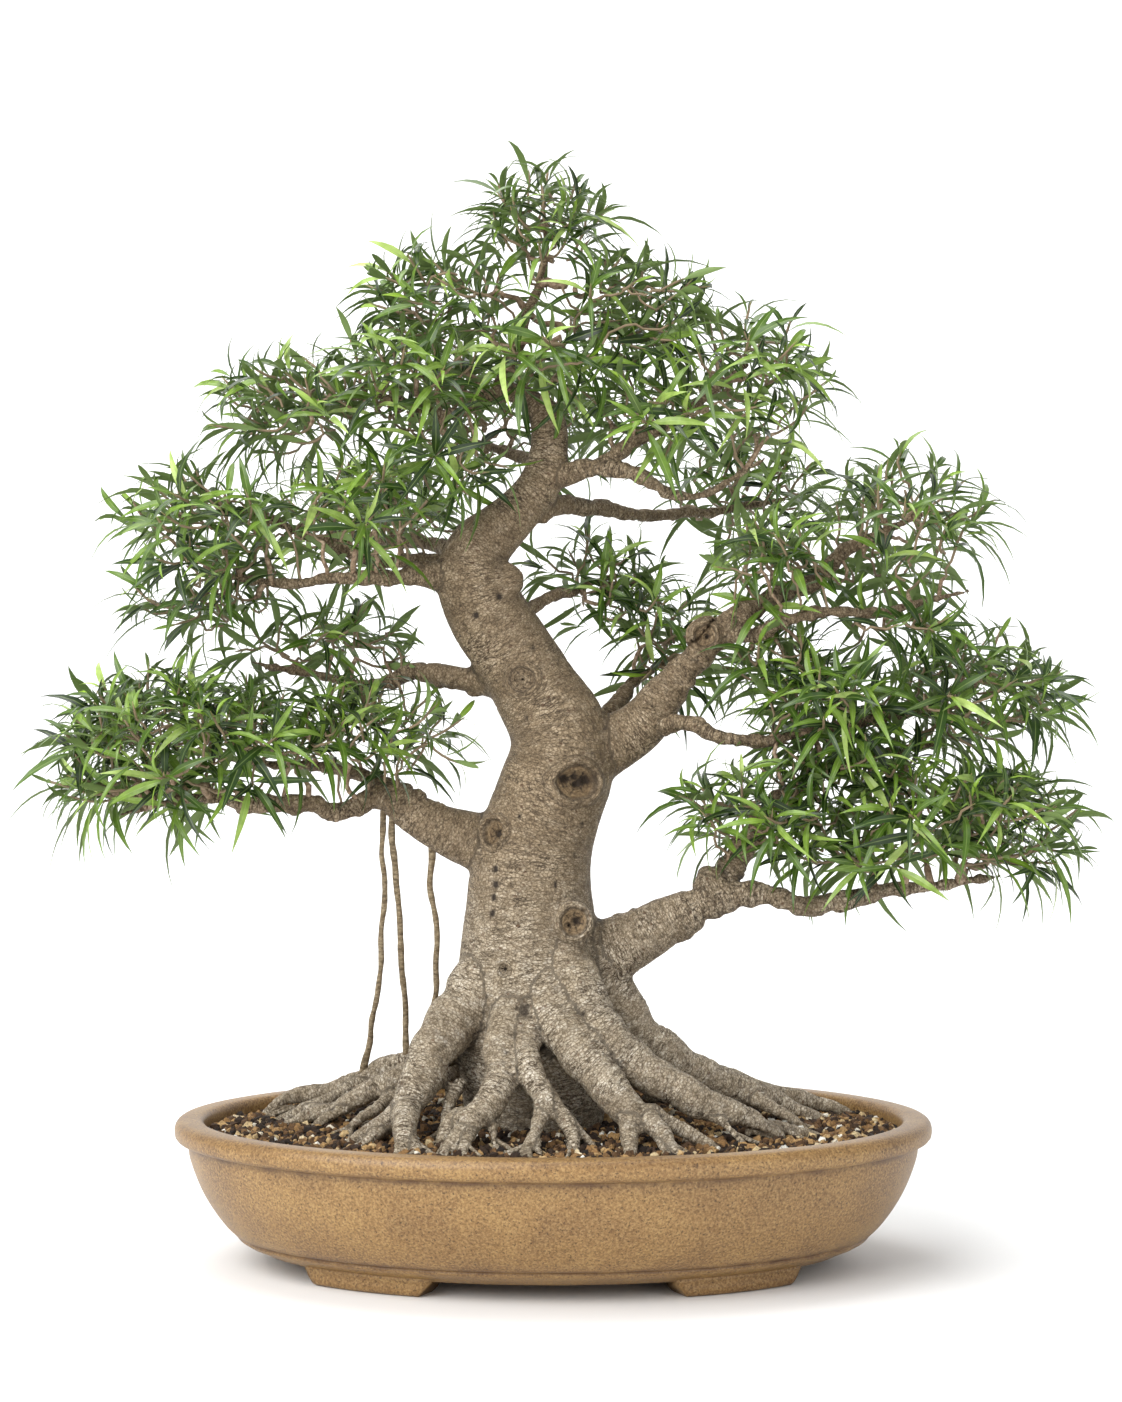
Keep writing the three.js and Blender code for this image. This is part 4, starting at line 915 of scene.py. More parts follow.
# The path of each limb from the trunk out, as rows of x, y, z and radius.
LIMB_LINES = {
    "leader": [
        (-5, 1, 549, 9), (-19, 0, 559, 7.6), (-32, -3, 567, 6.8), (-29, -6, 580, 6),
        (-23, -4, 594, 5.2), (-18, 0, 612, 4.2), (-9, 2, 634, 3.3), (-5, 0, 656, 2.6),
        (-6, -2, 676, 2),
    ],
    "limb_crown_left": [
        (-30, -3, 565, 5.5), (-44, -8, 560, 5), (-58, -14, 551, 4), (-76, -18, 549, 3.4),
        (-96, -16, 555, 3), (-116, -10, 560, 2.6), (-140, -4, 558, 2),
    ],
    "limb_crown_right": [
        (-8, -2, 507, 7.5), (12, -8, 510, 7), (28, -14, 515, 6.4), (44, -18, 525, 5.6),
        (59, -16, 534, 4.8), (78, -8, 545, 4), (98, 0, 560, 3.2), (116, 6, 574, 2.4),
    ],
    "limb_crown_right_low": [
        (24, -13, 514, 5.6), (40, -20, 512, 5.4), (57, -24, 507, 4.9), (69, -22, 500, 4.5),
        (84, -16, 495, 3.6), (102, -12, 498, 2.9), (124, -10, 512, 2.2),
    ],
    "limb_left_high": [
        (-48, 0, 445, 14), (-67, -3, 444, 11), (-83, -7, 445, 8.2), (-97, -12, 444, 6.8),
        (-110, -16, 442, 6), (-128, -18, 443, 5), (-150, -14, 442, 4.4), (-172, -6, 438, 3.8),
        (-198, 2, 442, 3.2), (-225, 4, 448, 2.4),
    ],
    "limb_left_high_upper": [
        (-56, 4, 446, 7), (-72, 10, 453, 6), (-90, 17, 455, 5.6), (-112, 24, 455, 5),
        (-134, 27, 461, 4.6), (-156, 26, 469, 4), (-180, 22, 479, 3.4), (-206, 18, 488, 2.4),
    ],
    "limb_left_mid": [
        (-18, 8, 372, 10), (-56, 14, 377, 8), (-76, 20, 381, 7.2), (-92, 26, 382, 6.6),
        (-104, 31, 380, 5.8), (-113, 34, 374, 5.2), (-124, 36, 371, 4.8), (-138, 38, 376, 4.2),
        (-160, 40, 381, 3.4), (-186, 42, 386, 2.4),
    ],
    "limb_left_low": [
        (-20, 0, 262, 19), (-57, -3, 275, 16.5), (-73, -5, 281, 15), (-87, -6, 288, 14.6),
        (-99, -5, 295, 14.4), (-109, -3, 299, 10.5), (-121, -2, 299, 7.8), (-133, -6, 294, 6.9),
        (-145, -11, 292, 6.8), (-158, -15, 297, 7), (-178, -18, 296, 7), (-196, -17, 297, 6.3),
        (-216, -14, 300, 4.8), (-240, -12, 299, 3.6), (-266, -12, 293, 2.4),
    ],
    "limb_left_low_back": [
        (-96, 0, 300, 9), (-112, 10, 309, 6.4), (-126, 20, 315, 5.4), (-144, 30, 318, 4.6),
        (-168, 38, 320, 3.8), (-196, 44, 322, 3.2), (-226, 46, 326, 2.4),
    ],
    "limb_right_high": [
        (8, 2, 320, 21), (44, 2, 338, 17), (60, 1, 350, 15), (72, 0, 366, 13.6),
        (83, -1, 380, 12.4), (96, -2, 394, 11.2), (110, -3, 410, 10.4), (126, -2, 421, 8.6),
        (144, 0, 430, 7.8), (161, 2, 438, 7.2), (178, 2, 450, 6.4), (194, 0, 462, 5.2),
        (213, -4, 473, 3.8), (230, -8, 480, 2.6),
    ],
    "limb_right_high_low": [
        (108, -3, 407, 7), (125, -12, 405, 5.6), (138, -19, 407, 5.2), (147, -24, 414, 4.8),
        (164, -28, 418, 4.2), (186, -28, 420, 3.8), (209, -25, 420, 3.5), (230, -22, 425, 3),
        (252, -20, 430, 2.2),
    ],
    "limb_right_mid": [
        (56, 0, 346, 9), (77, -8, 350, 6.2), (89, -13, 348, 5.7), (100, -16, 341, 5.5),
        (113, -18, 338, 5.2), (133, -17, 338, 4.9), (160, -12, 342, 4.4), (192, -6, 348, 3.8),
        (226, -2, 354, 3.2), (256, 0, 358, 2.4),
    ],
    "limb_right_low": [
        (4, 0, 186, 23), (42, -4, 204, 19), (57, -6, 211, 17.4), (73, -8, 220, 16.2),
        (89, -10, 229, 15.2), (105, -12, 236, 13.6), (119, -14, 240, 11.2), (135, -17, 239, 8.8),
        (151, -20, 234, 7.8), (168, -23, 231, 7.4), (184, -24, 234, 7.2), (205, -22, 239, 6),
        (226, -19, 242, 4.8), (248, -17, 245, 3.8), (272, -16, 248, 2.6),
    ],
    "limb_right_low_riser": [
        (100, -11, 236, 10.5), (117, -6, 258, 8.8), (130, 0, 280, 8), (144, 6, 297, 7.2),
        (160, 12, 308, 6.4), (182, 18, 318, 5.2), (212, 24, 327, 3.9), (244, 26, 333, 2.6),
    ],
    "limb_back_left": [
        (-44, 4, 438, 11), (-52, 36, 452, 8), (-66, 64, 464, 6.4), (-88, 88, 470, 5.2),
        (-118, 106, 474, 4), (-150, 116, 476, 2.6),
    ],
    "limb_back_crown": [
        (-10, 0, 500, 9), (-8, 26, 512, 6.6), (-16, 52, 524, 5.4), (-32, 78, 532, 4.4),
        (-52, 100, 540, 2.8),
    ],
    "limb_back_right": [
        (-18, -2, 488, 9), (14, 26, 492, 6.4), (44, 54, 490, 5.4), (78, 82, 490, 4.6),
        (112, 100, 494, 3.8), (146, 112, 500, 2.6),
    ],
    "limb_back_small": [
        (-30, 4, 415, 6), (-8, 28, 428, 4.4), (12, 44, 438, 3.6), (32, 54, 444, 2.4),
    ],
    "limb_notch_back": [
        (24, 4, 332, 9), (37, 28, 350, 7.6), (44, 42, 366, 6.2), (56, 54, 378, 4.4),
        (74, 60, 388, 2.6),
    ],
}
STUBS = {  # how many rows of a thick limb the trunk's own skin takes in, and how much it flares there
    "leader": 2, "limb_crown_right": 2, "limb_left_high": 3, "limb_left_high_upper": 2, "limb_left_mid": 3,
    "limb_left_low": 4, "limb_right_high": 4, "limb_right_low": 4, "limb_back_left": 2, "limb_back_crown": 2,
    "limb_back_right": 2, "limb_back_small": 2, "limb_notch_back": 2,
}

TRUNK_VOXEL = 2.0  # the grid that the tubes are fused on
trunk_parts = [tube(TRUNK_LINE, 40, 8)]
for i, line in enumerate(ROOT_LINES):
    slim = [(x, y, z, r * np.interp(r, (4, 8, 13, 19), (0.7, 0.76, 0.84, 0.95))) for x, y, z, r in line]
    trunk_parts.append(tube(slim, 16, 6, wander=5, seed=i * 3.7, swell=0.12))
for name, rows in STUBS.items():
    line = [(x, y, z, r * (1.16 - 0.22 * i / rows))
            for i, (x, y, z, r) in enumerate(LIMB_LINES[name][: rows + 1])]
    line[-1] = (*line[-1][:3], line[-1][3] * 0.86)
    trunk_parts.append(tube(line, 20, 6))


def ball(centre, radius):
    """A ball that is a little flat from front to back."""
    rows = [(-1, 0.05), (-0.8, 0.6), (-0.45, 0.89), (0, 1), (0.45, 0.89), (0.8, 0.6), (1, 0.05)]
    x, y, z = centre
    return tube([(x, y + radius * 0.6 * a, z, radius * b) for a, b in rows], 20, 3)


trunk_parts += [ball(centre, radius) for centre, radius in BOSSES]
trunk = grown_together("trunk_and_roots", trunk_parts, TRUNK_VOXEL, bark)
skin = Skin(trunk)
skin.smooth(5, 0.6)
normals = skin.normals()
low = np.clip((185 - skin.spots[:, 2]) / 60, 0, 1)  # 1 on the roots, 0 on the trunk above them
lumps = field(skin.spots, 0.028, 2.0) * 1.4 + field(skin.spots, 0.07, 5.0) * 0.35
folds = hump(field(skin.spots, 0.13, 9.0, (1, 1, 1.5)), 0, 0.1)
skin.spots += normals * (lumps - 0.9 * folds * (0.35 + 0.65 * low))[:, None]
for centre, radius, depth in CREASES:
    away = np.linalg.norm(skin.spots - np.array(centre), axis=1)
    skin.spots -= normals * (depth * hump(away, 0, radius))[:, None]
pitted = np.zeros(len(skin.spots))
for x, z, radius in PITS:
    over = np.hypot(skin.spots[:, 0] - x, skin.spots[:, 2] - z) < 3
    centre = (x, skin.spots[over, 1].min(), z)
    pit = hump(np.linalg.norm(skin.spots - np.array(centre), axis=1), 0, radius * 1.5)
    skin.spots -= normals * (PIT_DEPTH * pit)[:, None]
    pitted = np.maximum(pitted, pit)
depth = skin.hollow(4)
skin.write()
LIMB_FROM = 50  # scars further right than this are on the right limbs
patches = scarred(trunk, skin, [scar for scar in SCARS if scar[0] < LIMB_FROM], 0)
# Painted shade: the deeper a point lies below its surroundings, the darker the bark, and darker again in each
# pit.
store(trunk, "hollow", np.clip((depth - 0.1) / 0.8, 0, 0.9) + 0.75 * pitted)
store_grain(trunk, [TRUNK_LINE] + ROOT_LINES + [LIMB_LINES[name][: rows + 1] for name, rows in STUBS.items()])
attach(trunk, "root")
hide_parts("trunk")

# ------------------------------------------------------------------ limbs
# Limbs of the same live wood and bark, grown out of the trunk. They were wired into place and pruned year
# after year, which left knuckles where the side shoots were taken off.

LIMB_VOXEL, KNUCKLE = 1.2, 3.0  # the grid that the tubes are fused on, and the height of a knuckle
# The limbs that are fused into one piece.
SIDES_OF_TREE = {
    "limbs_left": ["limb_left_high", "limb_left_high_upper", "limb_left_mid", "limb_left_low",
                   "limb_left_low_back"],
    "limbs_right": ["limb_right_high", "limb_right_high_low", "limb_right_mid", "limb_right_low",
                    "limb_right_low_riser", "limb_notch_back"],
    "limbs_crown": ["leader", "limb_crown_left", "limb_crown_right", "limb_crown_right_low", "limb_back_left",
                    "limb_back_crown", "limb_back_right", "limb_back_small"],
}
for number, (side, names) in enumerate(SIDES_OF_TREE.items()):
    limb_parts = []
    for i, name in enumerate(names):
        line = LIMB_LINES[name]
        before, last = np.array(line[-2]), np.array(line[-1])
        thin_end = [(*(last[:3] + unit(last[:3] - before[:3]) * 16), last[3] * 0.5)]
        slim = [(x, y, z, r * (1 - 0.14 * min(1, row / 3)))
                for row, (x, y, z, r) in enumerate(line + thin_end)]
        limb_parts.append(tube(slim, 14, 9, wander=5, seed=20 + number * 31 + i * 5.1, swell=0.28))
    limbs = grown_together(side, limb_parts, LIMB_VOXEL, bark)
    skin = Skin(limbs)
    skin.smooth(2, 0.5)
    normals = skin.normals()
    knuckles = np.clip(field(skin.spots, 0.1, 4.0) - 0.1, 0, 1) * KNUCKLE + field(skin.spots, 0.24, 8.0) * 0.7
    folds = hump(field(skin.spots, 0.2, 15.0), 0, 0.08)
    skin.spots += normals * (knuckles - 0.7 * folds)[:, None]
    depth = skin.hollow(3)
    skin.write()
    if side == "limbs_right":
        patches += scarred(limbs, skin, [scar for scar in SCARS if scar[0] >= LIMB_FROM], 10)
    # Painted shade in the hollows of the limbs: the deeper, the darker.
    store(limbs, "hollow", np.clip((depth - 0.06) / 0.5, 0, 0.85))
    store_grain(limbs, [LIMB_LINES[name] for name in names])
    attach(limbs, "root")
    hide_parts(*names)

# ------------------------------------------------------------------ pruning scars
# Cuts where branches were taken off years ago. The bark has rolled over each cut as a ring, round a heart
# of dry wood that has split and begun to rot in its cores.

scar_points, scar_faces = bundle([(rows["points"], faces) for rows, faces in patches])
scars = turned_outwards(mesh_object("pruning_scars", scar_points, scar_faces, bark))
# A scar's dark marks, its rot and its painted shade, go into the same value that shades the bark's hollows.
for name, key in (("hollow", "dark"), ("heartwood", "heart"), ("grain", "grain")):
    store(scars, name, [value for rows, _ in patches for value in rows[key]])
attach(scars, "root")
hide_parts("trunk", "limb_right_high")

# ------------------------------------------------------------------ fine roots
# Thin live rootlets in the same bark as the surface roots. They leave those roots just over the soil and run
# a little way before they go under.

ROOTLETS, FULL_REACH = 90, 212
chance = np.random.default_rng(7)
rootlets, low_spots = [], []
for line in ROOT_LINES:
    path = smooth_path(line, 4)
    ways = np.gradient(path[:, :3], axis=0)
    low_spots += [(spot, way) for spot, way in zip(path, ways) if spot[2] < 104 and spot[3] < 11]
for pick in chance.choice(len(low_spots), ROOTLETS, replace=False):
    spot, way = low_spots[pick]
    x, y, z, r = spot
    heading = math.atan2(way[1], way[0]) + chance.choice((-1, 1)) * chance.uniform(0.35, 1.1)
    length, girth = chance.uniform(14, 34), chance.uniform(1.3, 2.6)
    line = [(x, y, min(z, 92), girth * 1.3)]
    for i in range(1, 6):
        heading += chance.uniform(-0.3, 0.3)
        x, y = x + math.cos(heading) * length / 5, y + math.sin(heading) * length / 5
        line.append((x, y, max(84, min(z, 93) - (min(z, 93) - 86) * i / 4), girth * (1 - 0.13 * i)))
    if math.hypot(x, y * SOIL_OVAL) < FULL_REACH:
        rootlets.append(tube(line, 7, 4, wander=4, seed=pick * 1.3, swell=0.2))
fine_roots = mesh_object("fine_surface_roots", *bundle(rootlets), bark)
store_grain(fine_roots, ROOT_LINES)
# The fine roots are darkened a little all over, by the value that paints shade into hollows elsewhere.
store(fine_roots, "hollow", [0.12] * len(fine_roots.data.vertices))
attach(fine_roots, "root")
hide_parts("trunk")

# ------------------------------------------------------------------ aerial roots
# Three thin live roots that grew down through the air from the low left limb, and have taken hold on the
# long surface root below it. They are as wide as a thick string, round and a little knotty.

AERIAL_LINES = [
    [(-109, 0, 299, 2.4), (-110, 0, 286, 2.1), (-112, 3, 266, 1.8), (-110, 8, 246, 1.8), (-112, 14, 214, 1.8),
     (-114, 19, 183, 1.9), (-118, 24, 158, 1.9), (-122, 28, 137, 2.1), (-128, 34, 113, 2.6)],
    [(-104, -1, 292, 2.4), (-105, 0, 277, 2.2), (-103, 4, 253, 2), (-101, 9, 222, 1.9), (-99, 15, 183, 2),
     (-97, 20, 157, 2), (-98, 25, 122, 2.4)],
    [(-78, -4, 280, 2.6), (-79, -3, 262, 2.3), (-80, 2, 246, 2), (-77, 8, 221, 1.9), (-77, 12, 195, 1.9),
     (-78, 16, 170, 2), (-81, 21, 130, 2.4)],
]
# Young root bark gives the eye a dull brown, mottled in short rings about 2 mm apart.
aerial_bark, tree, shader, place = new_material("brown_aerial_root_bark")
ring_place = add(tree, "ShaderNodeMapping", feeds={0: place, 3: (1, 1, 2)})
rings = add(tree, "ShaderNodeTexNoise",
            feeds={"Vector": ring_place.outputs[0], "Scale": 260, "Detail": 4, "Roughness": 0.65})
tone = add(tree, "ShaderNodeValToRGB", {"stops": [(0.34, "#4d3f2c"), (0.5, "#7a6a50"), (0.64, "#9c8d73")]},
           {"Fac": rings.outputs["Fac"]})
relief = add(tree, "ShaderNodeBump",
             feeds={"Strength": 0.6, "Distance": 0.0008, "Height": rings.outputs["Fac"]})
feed(tree, shader, {"Base Color": tone.outputs[0], "Roughness": 0.8, "Normal": relief.outputs[0]})
for name, line in zip(("outer", "middle", "inner"), AERIAL_LINES):
    points, faces = tube(line, 12, 14, wander=6, seed=len(name) * 2.3, swell=0.25)
    aerial = mesh_object("aerial_root_" + name + "_bark", points, faces, aerial_bark)
    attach(aerial, "root")
    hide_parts("aerial_root_" + name)

# ------------------------------------------------------------------ twigs
# Fine live twigs that fill each clump from the limb that passes through it. They fork again and again, turn
# up at their ends, and thicken where they join, as pipes would that carry the same flow.

CLUMPS = {  # how full each clump is, and the centre and half sizes in mm of the lumps its leaves fill
    "apex": (0.9, [(-6, 0, 664, 58, 56, 56), (-66, -4, 622, 72, 78, 44), (46, -4, 616, 74, 80, 44),
                   (-4, -26, 582, 62, 50, 30)]),
    "crown_left": (0.56, [(-164, -4, 552, 74, 76, 46), (-94, -10, 566, 72, 92, 46),
                          (-66, -34, 520, 50, 36, 34)]),
    "crown_right": (0.4, [(128, -4, 568, 74, 80, 60), (62, -10, 548, 60, 78, 38)]),
    "left_high": (0.48, [(-220, -8, 470, 86, 92, 52), (-124, -18, 484, 74, 96, 44)]),
    "right_high": (0.42, [(228, -6, 470, 80, 88, 60), (148, -14, 446, 66, 84, 44),
                          (216, -24, 412, 58, 50, 20)]),
    "left_mid": (0.8, [(-150, 44, 402, 88, 56, 28), (-226, 16, 426, 74, 54, 28)]),
    "left_low": (0.8, [(-238, -10, 334, 116, 106, 54), (-122, -6, 338, 84, 84, 42),
                       (-262, -12, 308, 84, 76, 26)]),
    "right_mid": (0.78, [(268, -4, 368, 88, 92, 44), (178, -10, 356, 72, 88, 42), (150, 4, 388, 58, 60, 26)]),
    "right_low": (0.84, [(262, -14, 290, 98, 100, 40), (142, -12, 288, 84, 84, 40),
                         (274, -10, 268, 84, 76, 22),
                         (196, -18, 322, 66, 64, 26), (204, -16, 264, 80, 60, 22)]),
    "back_left": (0.45, [(-128, 118, 490, 92, 62, 46)]),
    "back_crown": (0.45, [(-30, 112, 556, 84, 66, 54)]),
    "back_right": (0.45, [(126, 118, 508, 84, 62, 48)]),
    "back_small": (1.2, [(24, 62, 448, 50, 40, 32)]),
    "notch": (1.4, [(78, 62, 398, 56, 42, 42), (50, 50, 428, 56, 40, 34)]),
}
TIP_RADIUS, THICKEST_TWIG, PIPE, TWIG_STEP, TIP_SPACING = 0.9, 4.2, 2.2, 6.0, 10.0
TWIG_SIDES, GROWTH_ROUNDS, RISING_STEPS = 5, 90, 3
SHOOTS_PER_AREA = 0.0047  # shoots on each square mm of a lump's surface
LEAF_REACH, LEAF_RISE = 34, 17  # how far the leaves stand out from the twigs, sideways and upwards
SURFACE_POWER = 1.6  # in the usual rule for the surface of an ellipsoid


def lures_for(fullness, lumps, chance):
    """Places in the outer part of each lump for twigs to grow to, more of them above than below."""
    out = []
    for x, y, z, rx, ry, rz in lumps:
        half = np.array([max(0.55 * rx, rx - LEAF_REACH), max(0.55 * ry, ry - LEAF_REACH),
                         max(0.5 * rz, rz - LEAF_RISE)])
        area = 4 * math.pi * (((rx * ry) ** SURFACE_POWER + (rx * rz) ** SURFACE_POWER
                               + (ry * rz) ** SURFACE_POWER) / 3) ** (1 / SURFACE_POWER)
        wanted = max(int(area * SHOOTS_PER_AREA * fullness), 40)
        while wanted:
            way = unit(chance.normal(0, 1, 3))
            if way[2] < -0.05 and chance.random() < 0.65:
                continue
            out.append(np.array([x, y, z - 4]) + way * half * chance.uniform(0.25, 1) ** 0.5)
            wanted -= 1
    return np.array(out)


def colonise(starts, lures, chance):
    """Space colonisation: every lure draws the nearest twig a step nearer, until a twig has reached it."""
    spots, parents = list(starts), [-1] * len(starts)
    for _ in range(GROWTH_ROUNDS):
        if not len(lures):
            break
        cloud = np.array(spots)
        nearest = np.linalg.norm(lures[:, None] - cloud[None], axis=2).argmin(axis=1)
        for at in sorted(set(nearest)):
            pulls = lures[nearest == at] - cloud[at]
            way = (pulls / np.linalg.norm(pulls, axis=1)[:, None]).mean(axis=0)
            way = unit(way + (0, 0, 0.1) + chance.normal(0, 0.2, 3))
            spots.append(cloud[at] + way * TWIG_STEP)
            parents.append(int(at))
        fresh = np.array(spots[len(cloud):])
        near = np.linalg.norm(lures[:, None] - fresh[None], axis=2).min(axis=1)
        lures = lures[near > TIP_SPACING]
    return spots, parents


def turned_up(spots, parents, centre, chance):
    """Adds the last 18 mm of every twig, which turns up and outwards. Returns the shoots' ends and aims."""
    has_child = set(parents)
    ends, aims = [], []
    for i in range(len(spots)):
        if parents[i] < 0 or i in has_child:
            continue
        way = unit(spots[i] - spots[parents[i]])
        outwards = 0.72 * unit(spots[i] - centre)
        aim = unit(0.4 * way + np.array([0, 0, 0.7]) + outwards + chance.normal(0, 0.2, 3))
        at, from_node = spots[i], i
        for _ in range(RISING_STEPS):
            way = unit(way + aim)
            at = at + way * TWIG_STEP
            spots.append(at)
            parents.append(from_node)
            from_node = len(spots) - 1
        ends.append(at)
        aims.append(way)
    return ends, aims


def twig_tubes(spots, parents, starts):
    """Tubes along the twigs, thickest where they start."""
    girth = np.zeros(len(spots))
    kids = [[] for _ in spots]
    for i in range(len(spots) - 1, -1, -1):
        girth[i] = max(girth[i], TIP_RADIUS**PIPE)
        if parents[i] >= 0:
            girth[parents[i]] += girth[i]
            kids[parents[i]].append(i)
    radius = np.minimum(girth ** (1 / PIPE), THICKEST_TWIG)
    parts, age = [], []
    for i in range(len(spots)):
        kids[i].sort(key=lambda k: -radius[k])
        for head in kids[i] if i < starts else kids[i][1:]:
            line, node = [(*spots[i], radius[head])], head
            while True:
                line.append((*spots[node], radius[node]))
                if not kids[node]:
                    break
                node = kids[node][0]
            line.append((*(spots[node] + unit(spots[node] - spots[parents[node]]) * 7), 0.12))
            parts.append(tube(line, TWIG_SIDES, 1))
            age += [min(1, max(0, 1.5 - row[3])) for row in line for _ in range(TWIG_SIDES)] + [0, 1]
    return bundle(parts), age


# Twig bark gives the eye a dull brown with scales of about 3 mm, and is greenish where it grew this year.
twig_bark, tree, shader, place = new_material("brown_twig_bark_greening_at_the_tips")
scaly = add(tree, "ShaderNodeTexNoise", feeds={"Vector": place, "Scale": 330, "Detail": 4, "Roughness": 0.65})
tone = add(tree, "ShaderNodeValToRGB", {"stops": [(0.32, "#5c4836"), (0.5, "#8a735b"), (0.66, "#b09c84")]},
           {"Fac": scaly.outputs["Fac"]})
age = add(tree, "ShaderNodeAttribute", {"attribute_name": "young"})
green = add(tree, "ShaderNodeValToRGB",
            {"stops": [(0.0, "#77654f"), (0.75, "#86745a"), (0.93, "#8b8650"), (1.0, "#b59a7a")]},
            {"Fac": age.outputs["Fac"]})
grown = add(tree, "ShaderNodeMath", {"operation": "GREATER_THAN"}, {0: age.outputs["Fac"], 1: 0.35})
twig_colour = add(tree, "ShaderNodeMix", LAID_OVER,
                  {0: grown.outputs[0], 6: tone.outputs[0], 7: green.outputs[0]})
relief = add(tree, "ShaderNodeBump",
             feeds={"Strength": 0.5, "Distance": 0.0006, "Height": scaly.outputs["Fac"]})
feed(tree, shader, {"Base Color": twig_colour.outputs[2], "Roughness": 0.7, "Normal": relief.outputs[0]})

limb_spots = np.vstack([smooth_path(line, 5)[:, :3] for line in LIMB_LINES.values()])
shoots = {}
for number, (clump, (fullness, lumps)) in enumerate(CLUMPS.items()):
    chance = np.random.default_rng(100 + number)
    inside = np.zeros(len(limb_spots), bool)
    for x, y, z, rx, ry, rz in lumps:
        inside |= (((limb_spots - (x, y, z)) / (rx, ry, rz * 1.15)) ** 2).sum(axis=1) < 1
    if inside.sum() < 3:
        inside[np.linalg.norm(limb_spots - np.array(lumps[0][:3]), axis=1).argsort()[:4]] = True
    starts = limb_spots[inside][::4]
    spots, parents = colonise(starts, lures_for(fullness, lumps, chance), chance)
    centre = np.mean([lump[:3] for lump in lumps], axis=0)
    shoots[clump] = turned_up(spots, parents, centre, chance)
    for i in range(len(starts), len(spots)):
        spots[i] = spots[i] + chance.normal(0, 0.55, 3)
    (points, faces), young = twig_tubes(spots, parents, len(starts))
    twigs = mesh_object("twigs_" + clump, points, faces, twig_bark)
    store(twigs, "young", young)
    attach(twigs, "root")
    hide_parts("foliage_" + clump)

# ------------------------------------------------------------------ leaves
# Narrow willow-shaped leaves, glossy above and paler below, set in a spiral round each shoot. They arch
# over, hang at their points, and are short and yellow-green where they are new.

# Places along a leaf from its stalk, and its width there as a share of its widest.
LEAF_ROWS = [(0, 0.1), (0.07, 0.13), (0.2, 0.6), (0.36, 0.97), (0.52, 1.0), (0.7, 0.74), (0.87, 0.34),
             (1, 0.02)]

# A waxy leaf gives the eye a soft highlight on its upper face and a duller, greyer back. Each leaf has its
# own depth of green, uneven over about 6 mm, with a paler midrib.
leaf_face, tree, shader, place = new_material("glossy_fig_leaf")
shade, young, rib, under = (add(tree, "ShaderNodeAttribute", {"attribute_name": name}).outputs["Fac"]
                            for name in ("shade", "young", "rib", "under"))
grown = add(tree, "ShaderNodeValToRGB",
            {"stops": [(0.0, "#152609"), (0.3, "#2b440f"), (0.6, "#4e6a1f"), (0.86, "#738f37"),
                       (1.0, "#a4b968")]}, {"Fac": shade})
new_growth = add(tree, "ShaderNodeMix", LAID_OVER, {0: young, 6: grown.outputs[0], 7: linear("#9cc03a")})
cloudy = add(tree, "ShaderNodeTexNoise", feeds={"Vector": place, "Scale": 160, "Detail": 3})
patchy = add(tree, "ShaderNodeValToRGB", {"stops": [(0.35, "#b9c4a6"), (0.6, "#ffffff")]},
             {"Fac": cloudy.outputs["Fac"]})
varied = add(tree, "ShaderNodeMix", TINTED, {0: 0.6, 6: new_growth.outputs[2], 7: patchy.outputs[0]})
vein = add(tree, "ShaderNodeValToRGB", {"stops": [(0.84, "#000000"), (0.95, "#8a8a8a")]}, {"Fac": rib})
ribbed = add(tree, "ShaderNodeMix", LAID_OVER,
             {0: vein.outputs[0], 6: varied.outputs[2], 7: linear("#a3b86c")})
backed = add(tree, "ShaderNodeMix", LAID_OVER, {0: under, 6: ribbed.outputs[2], 7: linear("#6c8149")})
gloss = add(tree, "ShaderNodeMapRange", feeds={0: under, 3: 0.3, 4: 0.55})
relief = add(tree, "ShaderNodeBump",
             feeds={"Strength": 0.25, "Distance": 0.0003, "Height": cloudy.outputs["Fac"]})
feed(tree, shader, {"Base Color": backed.outputs[2], "Roughness": gloss.outputs[0],
                    "Specular IOR Level": 0.38, "Normal": relief.outputs[0]})


def leaf_blade(name, width, arch, twist):
    """One leaf of unit length up Z, its upper face towards Y, folded a little along its midrib."""
    points, faces, ribs, unders = [], [], [], []
    for along, share in LEAF_ROWS:
        half, fold, thick = width * share / 2, 0.16 * width * share, 0.0045
        turn = twist * along
        for x, y in ((-half, fold), (0, thick), (half, fold), (0, -thick)):
            points.append((x * math.cos(turn) - y * math.sin(turn),
                           x * math.sin(turn) + y * math.cos(turn) - arch * along**2,
                           along - 0.35 * arch * along**3))
        ribs += [0, 1, 0, 1]
    for i in range(len(LEAF_ROWS) - 1):
        for k in range(4):
            a, b = i * 4 + k, i * 4 + (k + 1) % 4
            faces.append((b, a, a + 4, b + 4))
            unders.append(0 if k < 2 else 1)
    faces += [(0, 1, 2, 3), tuple(range(len(points) - 1, len(points) - 5, -1))]
    unders += [1, 1]
    blade = turned_outwards(mesh_object(name, points, faces, leaf_face))
    store(blade, "rib", ribs)
    store(blade, "under", unders, "FACE")
    store(blade, "along", [along for along, _ in LEAF_ROWS for _ in range(4)])
    for edge in blade.data.edges:
        a, b = edge.vertices
        edge.use_edge_sharp = abs(a - b) == 4 and a % 4 != 3
    return blade


# Each kind of blade: its width as a share of its length, how far it arches over, and its twist.
BLADES = [(0.1, 0.4, 0.3), (0.118, 0.52, -0.4), (0.094, 0.68, 0.4), (0.122, 0.28, -0.25), (0.107, 0.46, 0.1)]
blades = [leaf_blade("blade_" + str(i), *shape) for i, shape in enumerate(BLADES)]

group, given, out = node_group("leafy_shoots", {
    "Leaves": ("Int", 7), "Length": ("Float", 0.047), "Spacing": ("Float", 0.003), "Droop": ("Float", 0.006),
    "Seed": ("Int", 1), "Material": ("Material", None)})

